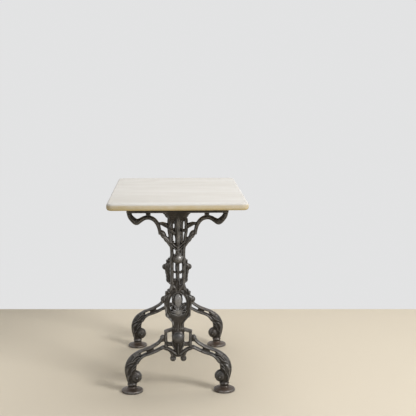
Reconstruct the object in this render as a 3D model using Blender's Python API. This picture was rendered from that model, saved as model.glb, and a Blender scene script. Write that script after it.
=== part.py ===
"""Bistro table: a marble slab on two pierced cast-iron end frames.

Metres, +Z up, origin on the floor under the middle of the slab. The long side of the
slab runs along Y, and each end frame stands across it, in an XZ plane. A stretcher bar
ties the frames low down, and two flat rails tie them under the slab.
"""

import math

import bmesh
import bpy
from mathutils import Vector

# ---------------------------------------------------------------- driving dimensions

TOP_LENGTH = 0.800  # along Y
TOP_WIDTH = 0.500  # along X
TOP_THICKNESS = 0.026
TOP_CORNER_RADIUS = 0.024  # in plan
TOP_EDGE_RADIUS = 0.009  # rounded upper and lower edges
FRAME_SPACING = 0.570  # between the middle planes of the two end frames

SEAT_GAP = 0.0003  # left between pieces that touch
HOLE_CLEARANCE = 0.0003  # all round a bolt or bar in its hole

# Heights of a frame, from the floor up. The table's height is their sum.
BRACKET_HEIGHT = 0.204  # middle of the square brackets, which the legs spring from
COLLAR_RISE = 0.031  # from there to the collar at the foot of the neck
NECK_LENGTH = 0.034
URN_HALF_HEIGHT = 0.064
SHOULDER_RISE = 0.026  # from the urn's top to the straight part of the column
COLUMN_LENGTH = 0.1131
SPREAD_HEIGHT = 0.135  # from the column's straight part to the flange
FLANGE_THICKNESS = 0.012

URN_HALF_WIDTH = 0.0445
FRONT_BUD_HALF_WIDTH = 0.0160  # the bud that stands in the front frame's urn
BACK_BUD_HALF_WIDTH = 0.0085  # the back frame's is a slim one
COLUMN_HALF_WIDTH = 0.0275
COLUMN_RAIL_WIDTH = 0.013
ROSETTE_RISE = 0.079  # above the lower end of the column's straight part
ROSETTE_RADIUS = 0.0180
FLANGE_REACH = 0.184  # half the length of the flange that carries the slab
FLANGE_DEPTH = 0.034

PAD_RADIUS = 0.012
PAD_THICKNESS = 0.002
PAD_INSET = 0.055  # from the frame's middle plane towards the slab's middle
RAIL_WIDTH = 0.030
RAIL_THICKNESS = 0.008
RAIL_X = 0.106  # the rails lie over the arms' screw posts

SCREW_SHANK_RADIUS = 0.004
SCREW_HEAD_RADIUS = 0.008
SCREW_HEAD_HEIGHT = 0.004
SCREW_LENGTH = 0.026
SCREW_HOLE_SPARE = 0.002  # depth of the tapped hole past the screw's end
SCREW_SLOT_WIDTH = 0.0014
SCREW_SLOT_DEPTH = 0.0015

FOOT_X = 0.171  # from the middle of a frame to the middle of a foot
FOOT_RADIUS = 0.0400
FOOT_HEIGHT = 0.020  # the disc with its domed top
FOOT_NECK_RADIUS = 0.0155
KNEE_HEIGHT = 0.148  # where the rails of a leg run into its scroll
BAR_DEPTH = 0.022  # the castings' plain bars, front to back
LEG_DEPTH = 0.034  # the leaf-clad scroll of a leg
STEM_DEPTH = 0.018

BOSS_RISE = 0.006  # the stretcher's axis above the middle of the brackets
STRETCHER_RADIUS = 0.010
STRETCHER_SPIGOT_RADIUS = 0.006
BOSS_RADIUS = 0.0205
BOSS_DEPTH = 0.034
WASHER_RADIUS = 0.0190
WASHER_THICKNESS = 0.0025
CAP_NUT_RADIUS = 0.0205
CAP_NUT_HEIGHT = 0.017
CAP_NUT_RIM = 0.0015
CAP_NUT_BORE_DEPTH = 0.011
SPIGOT_END_GAP = 0.001
FACETS_KEPT = 0.725  # share of a casting's facets left once its thin ones are merged

# ---------------------------------------------------------------- derived heights

BOSS_HEIGHT = BRACKET_HEIGHT + BOSS_RISE
COLLAR_HEIGHT = BRACKET_HEIGHT + COLLAR_RISE
URN_FOOT = COLLAR_HEIGHT + NECK_LENGTH
URN_MIDDLE = URN_FOOT + URN_HALF_HEIGHT
COLUMN_FOOT = URN_MIDDLE + URN_HALF_HEIGHT + SHOULDER_RISE
ROSETTE_HEIGHT = COLUMN_FOOT + ROSETTE_RISE
COLUMN_TOP = COLUMN_FOOT + COLUMN_LENGTH
FLANGE_UNDERSIDE = COLUMN_TOP + SPREAD_HEIGHT
FLANGE_TOP = FLANGE_UNDERSIDE + FLANGE_THICKNESS
RAIL_UNDERSIDE = FLANGE_TOP + SEAT_GAP
RAIL_TOP = RAIL_UNDERSIDE + RAIL_THICKNESS
PAD_UNDERSIDE = RAIL_TOP + SEAT_GAP
TOP_UNDERSIDE = PAD_UNDERSIDE + PAD_THICKNESS + SEAT_GAP

# ---------------------------------------------------------------- materials

IRON = (0.055, 0.050, 0.045, 1.0)
MARBLE = (0.80, 0.78, 0.73, 1.0)
FELT = (0.16, 0.15, 0.13, 1.0)
SURFACES = {"iron": (IRON, 0.55, 0.6), "marble": (MARBLE, 0.35, 0.0), "felt": (FELT, 0.95, 0.0)}


def material(node, kind):
    """A node's own Principled surface."""
    colour, roughness, metallic = SURFACES[kind]
    made = bpy.data.materials.new(f"{node} {kind}")
    made.use_nodes = True
    shader = made.node_tree.nodes["Principled BSDF"]
    shader.inputs["Base Color"].default_value = colour
    shader.inputs["Roughness"].default_value = roughness
    shader.inputs["Metallic"].default_value = metallic
    return made


# ---------------------------------------------------------------- mesh helpers


def mesh_object(name, shape, kind=None):
    """Turns a bmesh into an object with outward faces and smooth shading."""
    bmesh.ops.recalc_face_normals(shape, faces=shape.faces)
    mesh = bpy.data.meshes.new(name)
    shape.to_mesh(mesh)
    shape.free()
    mesh.shade_smooth()
    mesh.set_sharp_from_angle(angle=math.radians(40))
    if kind:
        mesh.materials.append(material(name, kind))
    made = bpy.data.objects.new(name, mesh)
    bpy.context.scene.collection.objects.link(made)
    return made


def hidden(helper):
    """A cutter or a pattern piece: left out of the finished model."""
    helper.hide_render = True
    helper.display_type = "WIRE"
    return helper


def evaluated_mesh(source, name):
    """The mesh of an object with its modifiers applied."""
    bpy.context.view_layer.update()
    graph = bpy.context.evaluated_depsgraph_get()
    mesh = bpy.data.meshes.new_from_object(source.evaluated_get(graph))
    mesh.name = name
    return mesh


def smooth_path(points, steps):
    """A Catmull-Rom curve through tuples of any length, with its first and last ends kept."""
    vectors = [Vector(point) for point in points]
    padded = [2 * vectors[0] - vectors[1], *vectors, 2 * vectors[-1] - vectors[-2]]
    made = []
    for before, start, end, after in zip(padded, padded[1:], padded[2:], padded[3:]):
        for step in range(steps):
            t = step / steps
            made.append(
                0.5
                * (
                    2 * start
                    + (end - before) * t
                    + (2 * before - 5 * start + 4 * end - after) * t**2
                    + (3 * start - before - 3 * end + after) * t**3
                )
            )
    made.append(vectors[-1])
    return made


def blend(start, end, fraction):
    """The point a fraction of the way from start to end."""
    return start + (end - start) * fraction


def superellipse(sides, power):
    """Unit section, squarer as the power grows, with two corners on the parting plane."""
    made = []
    for side in range(sides):
        angle = math.tau * side / sides
        across, deep = math.cos(angle), math.sin(angle)
        made.append(
            (
                math.copysign(abs(across) ** (2 / power), across),
                math.copysign(abs(deep) ** (2 / power), deep),
            )
        )
    return made


def skin(rings):
    """A closed solid through rings of equal count, with flat ends."""
    shape = bmesh.new()
    loops = [[shape.verts.new(point) for point in ring] for ring in rings]
    count = len(loops[0])
    for lower, upper in zip(loops, loops[1:]):
        for i in range(count):
            j = (i + 1) % count
            shape.faces.new((lower[i], lower[j], upper[j], upper[i]))
    shape.faces.new(loops[0])
    shape.faces.new(list(reversed(loops[-1])))
    return shape


def bar(name, points, side=1, steps=1, sides=6, power=3.2, rounded=True):
    """A cast bar in the frame's plane, through (x, z, width, depth) points.

    Its section is a superellipse square to the path. side -1 makes the mirror image.
    """
    path = smooth_path(points, steps)
    section = superellipse(sides, power)
    scales = [1.0] * len(path)
    if rounded:
        scales[0] = scales[-1] = 0.72
    rings = []
    for i, (x, z, width, depth) in enumerate(path):
        ahead, behind = path[min(i + 1, len(path) - 1)], path[max(i - 1, 0)]
        run, rise = ahead[0] - behind[0], ahead[1] - behind[1]
        length = math.hypot(run, rise)
        across = (-rise / length, run / length)
        rings.append(
            [
                (
                    side * (x + scales[i] * u * width / 2 * across[0]),
                    scales[i] * v * depth / 2,
                    z + scales[i] * u * width / 2 * across[1],
                )
                for u, v in section
            ]
        )
    return hidden(mesh_object(name, skin(rings)))


def pillar(name, levels, sides=10, power=3.0):
    """An upright member on the frame's middle line, through (z, half width, half depth)."""
    section = superellipse(sides, power)
    rings = [
        [(u * half_width, v * half_depth, z) for u, v in section]
        for z, half_width, half_depth in levels
    ]
    return hidden(mesh_object(name, skin(rings)))


def ball(name, x, z, radius, depth, side=1, around=10, down=6):
    """A cast bead, flattened or drawn out to the given half depth."""
    shape = bmesh.new()
    bmesh.ops.create_uvsphere(shape, u_segments=around, v_segments=down, radius=radius)
    bmesh.ops.rotate(
        shape,
        verts=shape.verts,
        cent=(0, 0, 0),
        matrix=turn_to_y(),
    )
    bmesh.ops.scale(shape, vec=(1, depth / radius, 1), verts=shape.verts)
    bmesh.ops.translate(shape, vec=(side * x, 0, z), verts=shape.verts)
    return hidden(mesh_object(name, shape))


def turn_to_y():
    """Turns +Z to -Y, for round things whose axis runs through the frame."""
    return Vector((0, 0, 1)).rotation_difference(Vector((0, -1, 0))).to_matrix()


def turned(name, profile, centre, segments=16, along="Z", kind=None):
    """A solid of revolution from (radius, height) points, its ends on the axis or flat."""
    shape = bmesh.new()
    loops = []
    for radius, height in profile:
        if radius < 1e-6:
            loops.append([shape.verts.new((0, 0, height))])
            continue
        loops.append(
            [
                shape.verts.new(
                    (
                        radius * math.cos(math.tau * i / segments),
                        radius * math.sin(math.tau * i / segments),
                        height,
                    )
                )
                for i in range(segments)
            ]
        )
    for lower, upper in zip(loops, loops[1:]):
        for i in range(segments):
            j = (i + 1) % segments
            if len(lower) == 1:
                shape.faces.new((lower[0], upper[j], upper[i]))
            elif len(upper) == 1:
                shape.faces.new((lower[i], lower[j], upper[0]))
            else:
                shape.faces.new((lower[i], lower[j], upper[j], upper[i]))
    for loop in (loops[0], loops[-1]):
        if len(loop) > 1:
            shape.faces.new(loop)
    if along == "-Y":
        bmesh.ops.rotate(shape, verts=shape.verts, cent=(0, 0, 0), matrix=turn_to_y())
    bmesh.ops.translate(shape, vec=centre, verts=shape.verts)
    return mesh_object(name, shape, kind)


def block(name, low, high, kind=None):
    """A box between two corners."""
    shape = bmesh.new()
    bmesh.ops.create_cube(shape, size=1)
    low, high = Vector(low), Vector(high)
    bmesh.ops.scale(shape, vec=high - low, verts=shape.verts)
    bmesh.ops.translate(shape, vec=(low + high) / 2, verts=shape.verts)
    return mesh_object(name, shape, kind)


def boolean(target, operation, other=None, group=None):
    """Adds an exact Boolean with an object or a collection."""
    modifier = target.modifiers.new(operation.title(), "BOOLEAN")
    modifier.operation = operation
    modifier.solver = "EXACT"
    if group:
        modifier.operand_type = "COLLECTION"
        modifier.collection = group
    else:
        modifier.object = other
    return modifier


# ---------------------------------------------------------------- end frame, lower part


def leg(side):
    """One leg: two rails with a web, the leaf-clad scroll, its volute and the disc foot."""
    root = BRACKET_HEIGHT
    foot = FOOT_X
    deep = BAR_DEPTH

    def rail(start, end, stations):
        """Rail points from (across, down, width) fractions between the leg's two ends."""
        return [
            (blend(start[0], end[0], u), blend(start[1], end[1], v), width, deep + 0.008 * u)
            for u, v, width in stations
        ]

    upper_rail = rail(
        (0.0560, root + 0.0060),
        (foot - 0.0110, KNEE_HEIGHT - 0.0100),
        (
            (0.00, 0.00, 0.0140),
            (0.06, 0.165, 0.0130),
            (0.147, 0.32, 0.0120),
            (0.294, 0.465, 0.0115),
            (0.46, 0.595, 0.0120),
            (0.683, 0.708, 0.0085),
            (0.846, 0.812, 0.0105),
            (1.00, 1.00, 0.0160),
        ),
    )
    lower_rail = rail(
        (0.0430, root - 0.0390),
        (foot - 0.0180, KNEE_HEIGHT - 0.0340),
        (
            (0.00, 0.00, 0.0130),
            (0.115, -0.04, 0.0140),
            (0.214, 0.04, 0.0120),
            (0.356, 0.206, 0.0120),
            (0.535, 0.363, 0.0120),
            (0.73, 0.508, 0.0115),
            (0.864, 0.686, 0.0120),
            (1.00, 1.00, 0.0160),
        ),
    )
    # The web crosses from rail to rail and parts the long slot from the short one.
    web = [
        (upper_rail[4][0] + 0.0010, upper_rail[4][1], 0.0150, deep - 0.004),
        (lower_rail[4][0] + 0.0020, lower_rail[4][1], 0.0150, deep - 0.004),
    ]
    scroll = [
        (foot + x, blend(FOOT_HEIGHT, KNEE_HEIGHT, v), width, LEG_DEPTH - ease)
        for x, v, width, ease in (
            (-0.0190, 0.93, 0.0270, 0.006),
            (-0.0085, 0.815, 0.0380, 0.001),
            (0.0010, 0.69, 0.0415, 0.000),
            (0.0060, 0.55, 0.0430, 0.000),
            (0.0070, 0.41, 0.0425, 0.001),
            (0.0050, 0.25, 0.0385, 0.003),
            (0.0000, 0.09, 0.0310, 0.004),
        )
    ]
    made = [
        bar("leg upper rail", upper_rail, side),
        bar("leg lower rail", lower_rail, side),
        bar("leg web", web, side),
        bar("leg scroll", scroll, side, sides=8, power=2.3, rounded=False),
    ]
    # The leaf's three lobes overlap down the outside of the scroll.
    for first in (1, 2, 3):
        lobe = [
            (
                scroll[first + step][0] + out,
                scroll[first + step][1] + 0.0060,
                width,
                LEG_DEPTH + swell,
            )
            for step, out, width, swell in (
                (-1, 0.0060, 0.006, 0.000),
                (0, 0.0110, 0.016, 0.004),
                (1, 0.0100, 0.007, 0.000),
            )
        ]
        made.append(bar("leg leaf lobe", lobe, side, power=2.2))
    volute = (foot - 0.0125, scroll[5][1] + 0.0045)
    made.append(ball("volute", *volute, 0.0238, 0.0190, side, 12, 6))
    made.append(ball("volute eye", volute[0] - 0.006, volute[1], 0.0075, 0.0210, side, 8, 4))
    made.append(ball("leg knuckle", 0.0590, root + 0.0010, 0.0088, 0.0130, side, 8, 4))
    foot_profile = [
        (blend(FOOT_NECK_RADIUS, FOOT_RADIUS, out), FOOT_HEIGHT * up)
        for out, up in (
            (0.93, 0.0),
            (1.0, 0.15),
            (0.98, 0.40),
            (0.80, 0.56),
            (0.30, 0.74),
            (0.0, 0.94),
            (0.0, 1.25),
            (0.12, 1.40),
            (-0.04, 1.75),
        )
    ]
    made.append(hidden(turned("foot", foot_profile, (side * foot, 0, 0))))
    return made


def bracket(side):
    """The square bracket beside the boss, and the pendant's half below it."""
    root = BRACKET_HEIGHT
    deep = BAR_DEPTH
    top = (
        (0.0120, COLLAR_HEIGHT + 0.0040, 0.0130, deep),
        (0.0300, COLLAR_HEIGHT - 0.0010, 0.0120, deep),
        (0.0500, COLLAR_HEIGHT - 0.0078, 0.0110, deep),
    )
    upright = (
        (0.0455, COLLAR_HEIGHT - 0.0020, 0.0110, deep),
        (0.0455, root + 0.0040, 0.0110, deep),
        (0.0445, root - 0.0130, 0.0120, deep),
        (0.0450, root - 0.0280, 0.0140, deep),
        (0.0480, root - 0.0420, 0.0100, deep),
    )
    bottom = (
        (0.0450, root - 0.0170, 0.0110, deep - 0.002),
        (0.0350, root - 0.0240, 0.0150, deep - 0.002),
        (0.0220, root - 0.0240, 0.0160, deep - 0.002),
        (0.0100, root - 0.0200, 0.0150, deep - 0.002),
    )
    pendant = (
        (0.0490, root - 0.0400, 0.0130, deep - 0.004),
        (0.0350, root - 0.0445, 0.0150, deep - 0.003),
        (0.0230, root - 0.0550, 0.0160, deep - 0.002),
        (0.0190, root - 0.0730, 0.0120, deep - 0.003),
    )
    # Its lower end crosses its mirror image, which makes the point of the pendant's V.
    rib = (
        (0.0420, root - 0.0380, 0.0080, deep + 0.002),
        (0.0230, root - 0.0480, 0.0100, deep + 0.004),
        (0.0110, root - 0.0590, 0.0110, deep + 0.004),
        (-0.0030, root - 0.0660, 0.0090, deep + 0.002),
    )
    return [
        bar("bracket top", top, side),
        bar("bracket upright", upright, side),
        bar("bracket bottom", bottom, side),
        bar("pendant side", pendant, side),
        bar("pendant rib", rib, side),
        ball("pendant ball", 0.0195, root - 0.0790, 0.0108, 0.0108, side, 8, 6),
    ]


def boss_and_neck():
    """The upright member from the pendant's point to the urn's bowl."""
    root = BRACKET_HEIGHT
    neck = BOSS_RADIUS
    bowl = URN_HALF_WIDTH
    body = (
        (root - 0.0730, 0.0070, 0.0080),
        (root - 0.0560, 0.0130, 0.0105),
        (root - 0.0350, 0.0160, 0.0120),
        (root - 0.0180, 0.0190, 0.0135),
        (root + 0.0160, neck, 0.0140),
        (COLLAR_HEIGHT, neck + 0.0035, 0.0145),
        (blend(COLLAR_HEIGHT, URN_FOOT, 0.24), neck + 0.0010, 0.0150),
        (blend(COLLAR_HEIGHT, URN_FOOT, 0.50), neck, 0.0150),
        (blend(COLLAR_HEIGHT, URN_FOOT, 0.76), neck + 0.0015, 0.0150),
        (URN_FOOT, bowl * 0.68, 0.0140),
        (blend(URN_FOOT, URN_MIDDLE, 0.22), bowl * 0.90, 0.0130),
        (blend(URN_FOOT, URN_MIDDLE, 0.38), bowl * 0.94, 0.0115),
    )
    seat_profile = ((BOSS_RADIUS, -BOSS_DEPTH / 2), (BOSS_RADIUS, BOSS_DEPTH / 2))
    seat = hidden(
        turned("boss seat", seat_profile, (0, 0, BOSS_HEIGHT), segments=20, along="-Y")
    )
    ribs = [
        bar(
            "neck rib",
            (
                (neck * 0.58, COLLAR_HEIGHT + 0.0070, 0.0060, 0.0340),
                (neck * 0.54, blend(COLLAR_HEIGHT, URN_FOOT, 0.50), 0.0060, 0.0350),
                (neck * 0.83, URN_FOOT, 0.0070, 0.0360),
            ),
            side,
            power=2.0,
        )
        for side in (1, -1)
    ]
    return [pillar("boss body", body), seat, *ribs]


# ---------------------------------------------------------------- end frame, urn


def urn_half(side):
    """Half of the pierced urn: its oval rim, the ear and the shoulder."""
    middle = URN_MIDDLE
    tall = URN_HALF_HEIGHT
    wide = URN_HALF_WIDTH
    deep = BAR_DEPTH + 0.004
    rim_width = 0.0172
    rim = []
    # The rim's middle line is an oval, left open at the foot, where the bowl closes it.
    for degrees in (82, 58, 34, 12, -12, -32, -52):
        angle = math.radians(degrees)
        rim.append(
            (
                (wide - rim_width / 2) * math.cos(angle) ** 0.9,
                middle + tall * 1.02 * math.sin(angle),
                rim_width,
                deep - 0.003 * abs(math.sin(angle)),
            )
        )
    ear = [
        (wide + out, middle + tall * up, 0.0130, deep - 0.004)
        for out, up in ((-0.0070, -0.06), (0.0030, 0.12), (0.0030, 0.34), (-0.0060, 0.47))
    ]
    shoulder = [
        (wide + out, middle + tall * up, width, deep - 0.004)
        for out, up, width in (
            (-0.0190, 0.66, 0.0160),
            (-0.0090, 0.64, 0.0150),
            (-0.0002, 0.61, 0.0130),
        )
    ]
    crown = [
        (wide + out, middle + tall * up, width, deep - 0.006)
        for out, up, width in (
            (-0.0130, 0.70, 0.0120),
            (-0.0230, 0.95, 0.0130),
            (-0.0260, 1.28, 0.0110),
        )
    ]
    scroll = (wide + 0.0070, middle + tall * 0.25)
    return [
        bar("urn rim", rim, side),
        bar("urn ear", ear, side),
        ball("urn ear scroll", *scroll, 0.0115, 0.0125, side, 8, 6),
        bar("urn shoulder", shoulder, side, power=4.5),
        bar("urn crown", crown, side),
    ]


def urn_leaf_and_shell(bud_half_width):
    """The bud in the urn's opening and the shell that it stands in."""
    middle = URN_MIDDLE
    tall = URN_HALF_HEIGHT
    bud = [
        (middle + tall * up, min(half_width, bud_half_width), half_depth)
        for up, half_width, half_depth in (
            (1.00, 0.0060, 0.0070),
            (0.66, 0.0070, 0.0080),
            (0.47, 0.0125, 0.0110),
            (0.25, bud_half_width, 0.0130),
            (0.03, 0.0140, 0.0120),
            (-0.19, 0.0110, 0.0095),
            (-0.66, 0.0090, 0.0085),
        )
    ]
    made = [pillar("urn bud", bud, sides=8, power=2.0)]
    shell = blend(URN_FOOT, middle, 0.14)
    size = URN_HALF_WIDTH * 0.60
    for degrees in (12, 51, 90, 129, 168):
        across = math.cos(math.radians(degrees))
        upward = math.sin(math.radians(degrees))
        lobe = [
            (across * size * reach, shell + upward * size * reach, width, depth)
            for reach, width, depth in (
                (0.07, 0.008, 0.030),
                (0.54, 0.013, 0.036),
                (1.00, 0.012, 0.030),
            )
        ]
        made.append(bar("urn shell lobe", lobe, power=2.2))
    return made


# ---------------------------------------------------------------- end frame, upper part


def spread(down):
    """The height a fraction of the way from the flange down to the column's top."""
    return FLANGE_UNDERSIDE - SPREAD_HEIGHT * down


def column_half(side):
    """Half of the slender column: the rail that sweeps out into the arm's foot."""
    deep = BAR_DEPTH
    wide = COLUMN_RAIL_WIDTH
    line = COLUMN_HALF_WIDTH - wide / 2
    inner = RAIL_X - 0.0480
    rail = (
        (line * 0.30, URN_MIDDLE + URN_HALF_HEIGHT * 0.85, wide, deep),
        (line * 0.86, blend(URN_MIDDLE + URN_HALF_HEIGHT, COLUMN_FOOT, 0.25), wide, deep),
        (line, COLUMN_FOOT, wide, deep),
        (line + 0.0008, COLUMN_TOP, wide, deep),
        (line + 0.0060, spread(0.85), wide + 0.001, deep),
        (line + 0.0160, spread(0.74), wide + 0.002, deep),
        (0.0480, spread(0.65), wide + 0.002, deep),
        (0.0480 + inner * 0.207, spread(0.52), 0.0120, deep),
    )
    side_bar = (
        (0.0260, spread(0.80), 0.0130, deep - 0.002),
        (0.0280, spread(0.63), 0.0120, deep - 0.002),
        (0.0315, spread(0.48), 0.0110, deep - 0.002),
        (0.0300, spread(0.355), 0.0100, deep - 0.002),
        (0.0285, spread(0.09), 0.0100, deep - 0.002),
    )
    lower_leaf = (
        (-0.0020, spread(0.99), 0.0100, 0.0200),
        (0.0120, spread(0.92), 0.0150, 0.0220),
        (0.0280, spread(0.785), 0.0100, 0.0200),
    )
    upper_leaf = (
        (-0.0020, spread(0.607), 0.0100, 0.0180),
        (0.0130, spread(0.533), 0.0140, 0.0200),
        (0.0320, spread(0.43), 0.0100, 0.0180),
    )
    return [
        bar("column rail", rail, side),
        bar("column side bar", side_bar, side),
        bar("column lower leaf", lower_leaf, side, power=2.2),
        bar("column upper leaf", upper_leaf, side, power=2.2),
    ]


def column_middle():
    """The stem, the round rosette on it, and the stepped capital under the flange."""
    thick = STEM_DEPTH / 2
    stem = (
        (URN_MIDDLE + URN_HALF_HEIGHT * 0.91, 0.0070, thick),
        (COLUMN_FOOT, 0.0060, thick),
        (COLUMN_TOP, 0.0065, thick),
        (spread(0.89), 0.0095, thick + 0.003),
        (spread(0.725), 0.0085, thick + 0.001),
        (spread(0.563), 0.0105, thick + 0.002),
        (spread(0.296), 0.0095, thick),
        (spread(0.09), 0.0120, thick + 0.001),
    )
    capital = (
        (spread(0.20), 0.0290, 0.0100),
        (spread(0.15), 0.0330, 0.0125),
        (spread(0.054), 0.0355, 0.0150),
        (spread(0.036), 0.0450, 0.0160),
        (FLANGE_UNDERSIDE + 0.0020, 0.0460, 0.0165),
    )
    return [
        pillar("column stem", stem, sides=8, power=2.4),
        pillar("capital", capital, sides=8, power=5.0),
        ball("rosette", 0.0, ROSETTE_HEIGHT, ROSETTE_RADIUS, 0.0190, 1, 12, 6),
    ]


def arm(side):
    """One arm: the S-shaped bar with its leaf point, the screw post and the tendril."""
    deep = BAR_DEPTH
    outer = FLANGE_REACH - RAIL_X
    inner = RAIL_X - 0.0480
    sweep = [
        (RAIL_X + outer * out, spread(down), width, deep)
        for out, down, width in (
            (0.885, -0.03, 0.0180),
            (0.84, 0.09, 0.0180),
            (0.715, 0.18, 0.0210),
            (0.55, 0.255, 0.0230),
            (0.385, 0.215, 0.0180),
            (0.205, 0.152, 0.0155),
            (0.0, 0.13, 0.0155),
        )
    ]
    sweep += [
        (0.0480 + inner * out, spread(down), width, deep)
        for out, down, width in (
            (0.707, 0.17, 0.0150),
            (0.50, 0.26, 0.0145),
            (0.353, 0.378, 0.0130),
            (0.293, 0.496, 0.0115),
            (0.276, 0.607, 0.0110),
        )
    ]
    point = [
        (RAIL_X + outer * out, spread(down), width, deep - ease)
        for out, down, width, ease in (
            (0.564, 0.222, 0.0160, 0.004),
            (0.538, 0.296, 0.0120, 0.006),
            (0.526, 0.344, 0.0040, 0.012),
        )
    ]
    tendril = (
        (0.0300, spread(0.385), 0.0120, deep - 0.006),
        (0.0420, spread(0.326), 0.0150, deep - 0.004),
        (0.0480 + inner * 0.14, spread(0.296), 0.0140, deep - 0.004),
        (0.0480 + inner * 0.362, spread(0.318), 0.0100, deep - 0.006),
    )
    barb = (
        (0.0480 + inner * 0.207, spread(0.474), 0.0100, deep - 0.004),
        (0.0480 + inner * 0.052, spread(0.548), 0.0120, deep - 0.004),
        (0.0430, spread(0.637), 0.0120, deep - 0.004),
    )
    post = hidden(
        block(
            "screw post",
            (side * RAIL_X - 0.0090, -BAR_DEPTH / 2 + 0.001, spread(0.148)),
            (side * RAIL_X + 0.0090, BAR_DEPTH / 2 - 0.001, FLANGE_UNDERSIDE + 0.0030),
        )
    )
    return [
        bar("arm sweep", sweep, side),
        bar("arm leaf point", point, side),
        bar("arm tendril", tendril, side, power=2.4),
        bar("arm barb", barb, side),
        post,
    ]


def end_frame_mesh(bud_half_width):
    """The whole casting as one mesh: every member joined, then bored and tapped."""
    flange = hidden(
        block(
            "flange",
            (-FLANGE_REACH, -FLANGE_DEPTH / 2, FLANGE_UNDERSIDE),
            (FLANGE_REACH, FLANGE_DEPTH / 2, FLANGE_TOP),
        )
    )
    edges = flange.modifiers.new("Eased edges", "BEVEL")
    edges.width = 0.0015
    edges.segments = 1
    members = [*boss_and_neck(), *urn_leaf_and_shell(bud_half_width), *column_middle()]
    for side in (1, -1):
        members += leg(side)
        members += bracket(side)
        members += urn_half(side)
        members += column_half(side)
        members += arm(side)
    group = bpy.data.collections.new("frame members")
    bpy.context.scene.collection.children.link(group)
    for member in members:
        bpy.context.scene.collection.objects.unlink(member)
        group.objects.link(member)
    boolean(flange, "UNION", group=group)
    stretcher_hole = hidden(
        turned(
            "stretcher hole",
            (
                (STRETCHER_SPIGOT_RADIUS + HOLE_CLEARANCE, -BOSS_DEPTH),
                (STRETCHER_SPIGOT_RADIUS + HOLE_CLEARANCE, BOSS_DEPTH),
            ),
            (0, 0, BOSS_HEIGHT),
            segments=16,
            along="-Y",
        )
    )
    boolean(flange, "DIFFERENCE", stretcher_hole)
    hole_bottom = RAIL_TOP - SCREW_LENGTH - SCREW_HOLE_SPARE
    for side in (1, -1):
        screw_hole = hidden(
            turned(
                "screw hole",
                (
                    (SCREW_SHANK_RADIUS + HOLE_CLEARANCE, hole_bottom),
                    (SCREW_SHANK_RADIUS + HOLE_CLEARANCE, RAIL_TOP),
                ),
                (side * RAIL_X, 0, 0),
                segments=12,
            )
        )
        boolean(flange, "DIFFERENCE", screw_hole)
    slivers = flange.modifiers.new("Slivers of the joints", "DECIMATE")
    slivers.ratio = FACETS_KEPT
    mesh = evaluated_mesh(flange, "end frame")
    mesh.materials.clear()
    return mesh


# ---------------------------------------------------------------- the other pieces


def marble_top():
    """The slab: rounded corners in plan and rounded edges, made by two bevels."""
    shape = bmesh.new()
    bmesh.ops.create_cube(shape, size=1)
    bmesh.ops.scale(
        shape, vec=(TOP_WIDTH, TOP_LENGTH, TOP_THICKNESS), verts=shape.verts
    )
    bmesh.ops.translate(
        shape,
        vec=(0, 0, TOP_UNDERSIDE + TOP_THICKNESS / 2),
        verts=shape.verts,
    )
    uprights = [
        edge
        for edge in shape.edges
        if abs(edge.verts[0].co.z - edge.verts[1].co.z) > TOP_THICKNESS / 2
    ]
    bmesh.ops.bevel(
        shape,
        geom=uprights,
        offset=TOP_CORNER_RADIUS,
        offset_type="OFFSET",
        segments=6,
        profile=0.5,
        affect="EDGES",
    )
    rims = [
        edge
        for edge in shape.edges
        if abs(edge.verts[0].co.z - edge.verts[1].co.z) < TOP_THICKNESS / 2
    ]
    bmesh.ops.bevel(
        shape,
        geom=rims,
        offset=min(TOP_EDGE_RADIUS, 0.49 * TOP_THICKNESS),
        offset_type="OFFSET",
        segments=4,
        profile=0.5,
        affect="EDGES",
    )
    return mesh_object("marble_top", shape, "marble")


def top_rail(name, side):
    """A flat rail over both flanges, countersunk for its two screws."""
    reach = FRAME_SPACING / 2 + FLANGE_DEPTH / 2
    rail = block(
        name,
        (side * RAIL_X - RAIL_WIDTH / 2, -reach, RAIL_UNDERSIDE),
        (side * RAIL_X + RAIL_WIDTH / 2, reach, RAIL_TOP),
        "iron",
    )
    head = SCREW_HEAD_RADIUS + HOLE_CLEARANCE
    shank = SCREW_SHANK_RADIUS + HOLE_CLEARANCE
    past = 0.001
    slope = (head - shank) / SCREW_HEAD_HEIGHT
    for end in (1, -1):
        cone = hidden(
            turned(
                name + " countersink",
                (
                    (shank, RAIL_UNDERSIDE - past),
                    (shank, RAIL_TOP - SCREW_HEAD_HEIGHT),
                    (head + slope * past, RAIL_TOP + past),
                ),
                (side * RAIL_X, end * FRAME_SPACING / 2, 0),
                segments=16,
            )
        )
        boolean(rail, "DIFFERENCE", cone)
    return rail


def rail_screw(name, x, y):
    """A slotted countersunk screw, its head just under the rail's top."""
    top = RAIL_TOP - SEAT_GAP
    tip = RAIL_TOP - SCREW_LENGTH
    screw = turned(
        name,
        (
            (SCREW_SHANK_RADIUS * 0.7, tip),
            (SCREW_SHANK_RADIUS, tip + SCREW_SHANK_RADIUS * 0.4),
            (SCREW_SHANK_RADIUS, top - SCREW_HEAD_HEIGHT),
            (SCREW_HEAD_RADIUS, top),
        ),
        (x, y, 0),
        kind="iron",
    )
    slot = hidden(
        block(
            name + " slot",
            (
                x - SCREW_HEAD_RADIUS * 1.2,
                y - SCREW_SLOT_WIDTH / 2,
                top - SCREW_SLOT_DEPTH,
            ),
            (
                x + SCREW_HEAD_RADIUS * 1.2,
                y + SCREW_SLOT_WIDTH / 2,
                top + SCREW_SLOT_DEPTH,
            ),
        )
    )
    boolean(screw, "DIFFERENCE", slot)
    return screw


def top_pad(name, x, y):
    """A felt disc between a rail and the slab."""
    return turned(
        name,
        (
            (PAD_RADIUS, PAD_UNDERSIDE),
            (PAD_RADIUS, PAD_UNDERSIDE + PAD_THICKNESS),
        ),
        (x, y, 0),
        kind="felt",
    )


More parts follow.
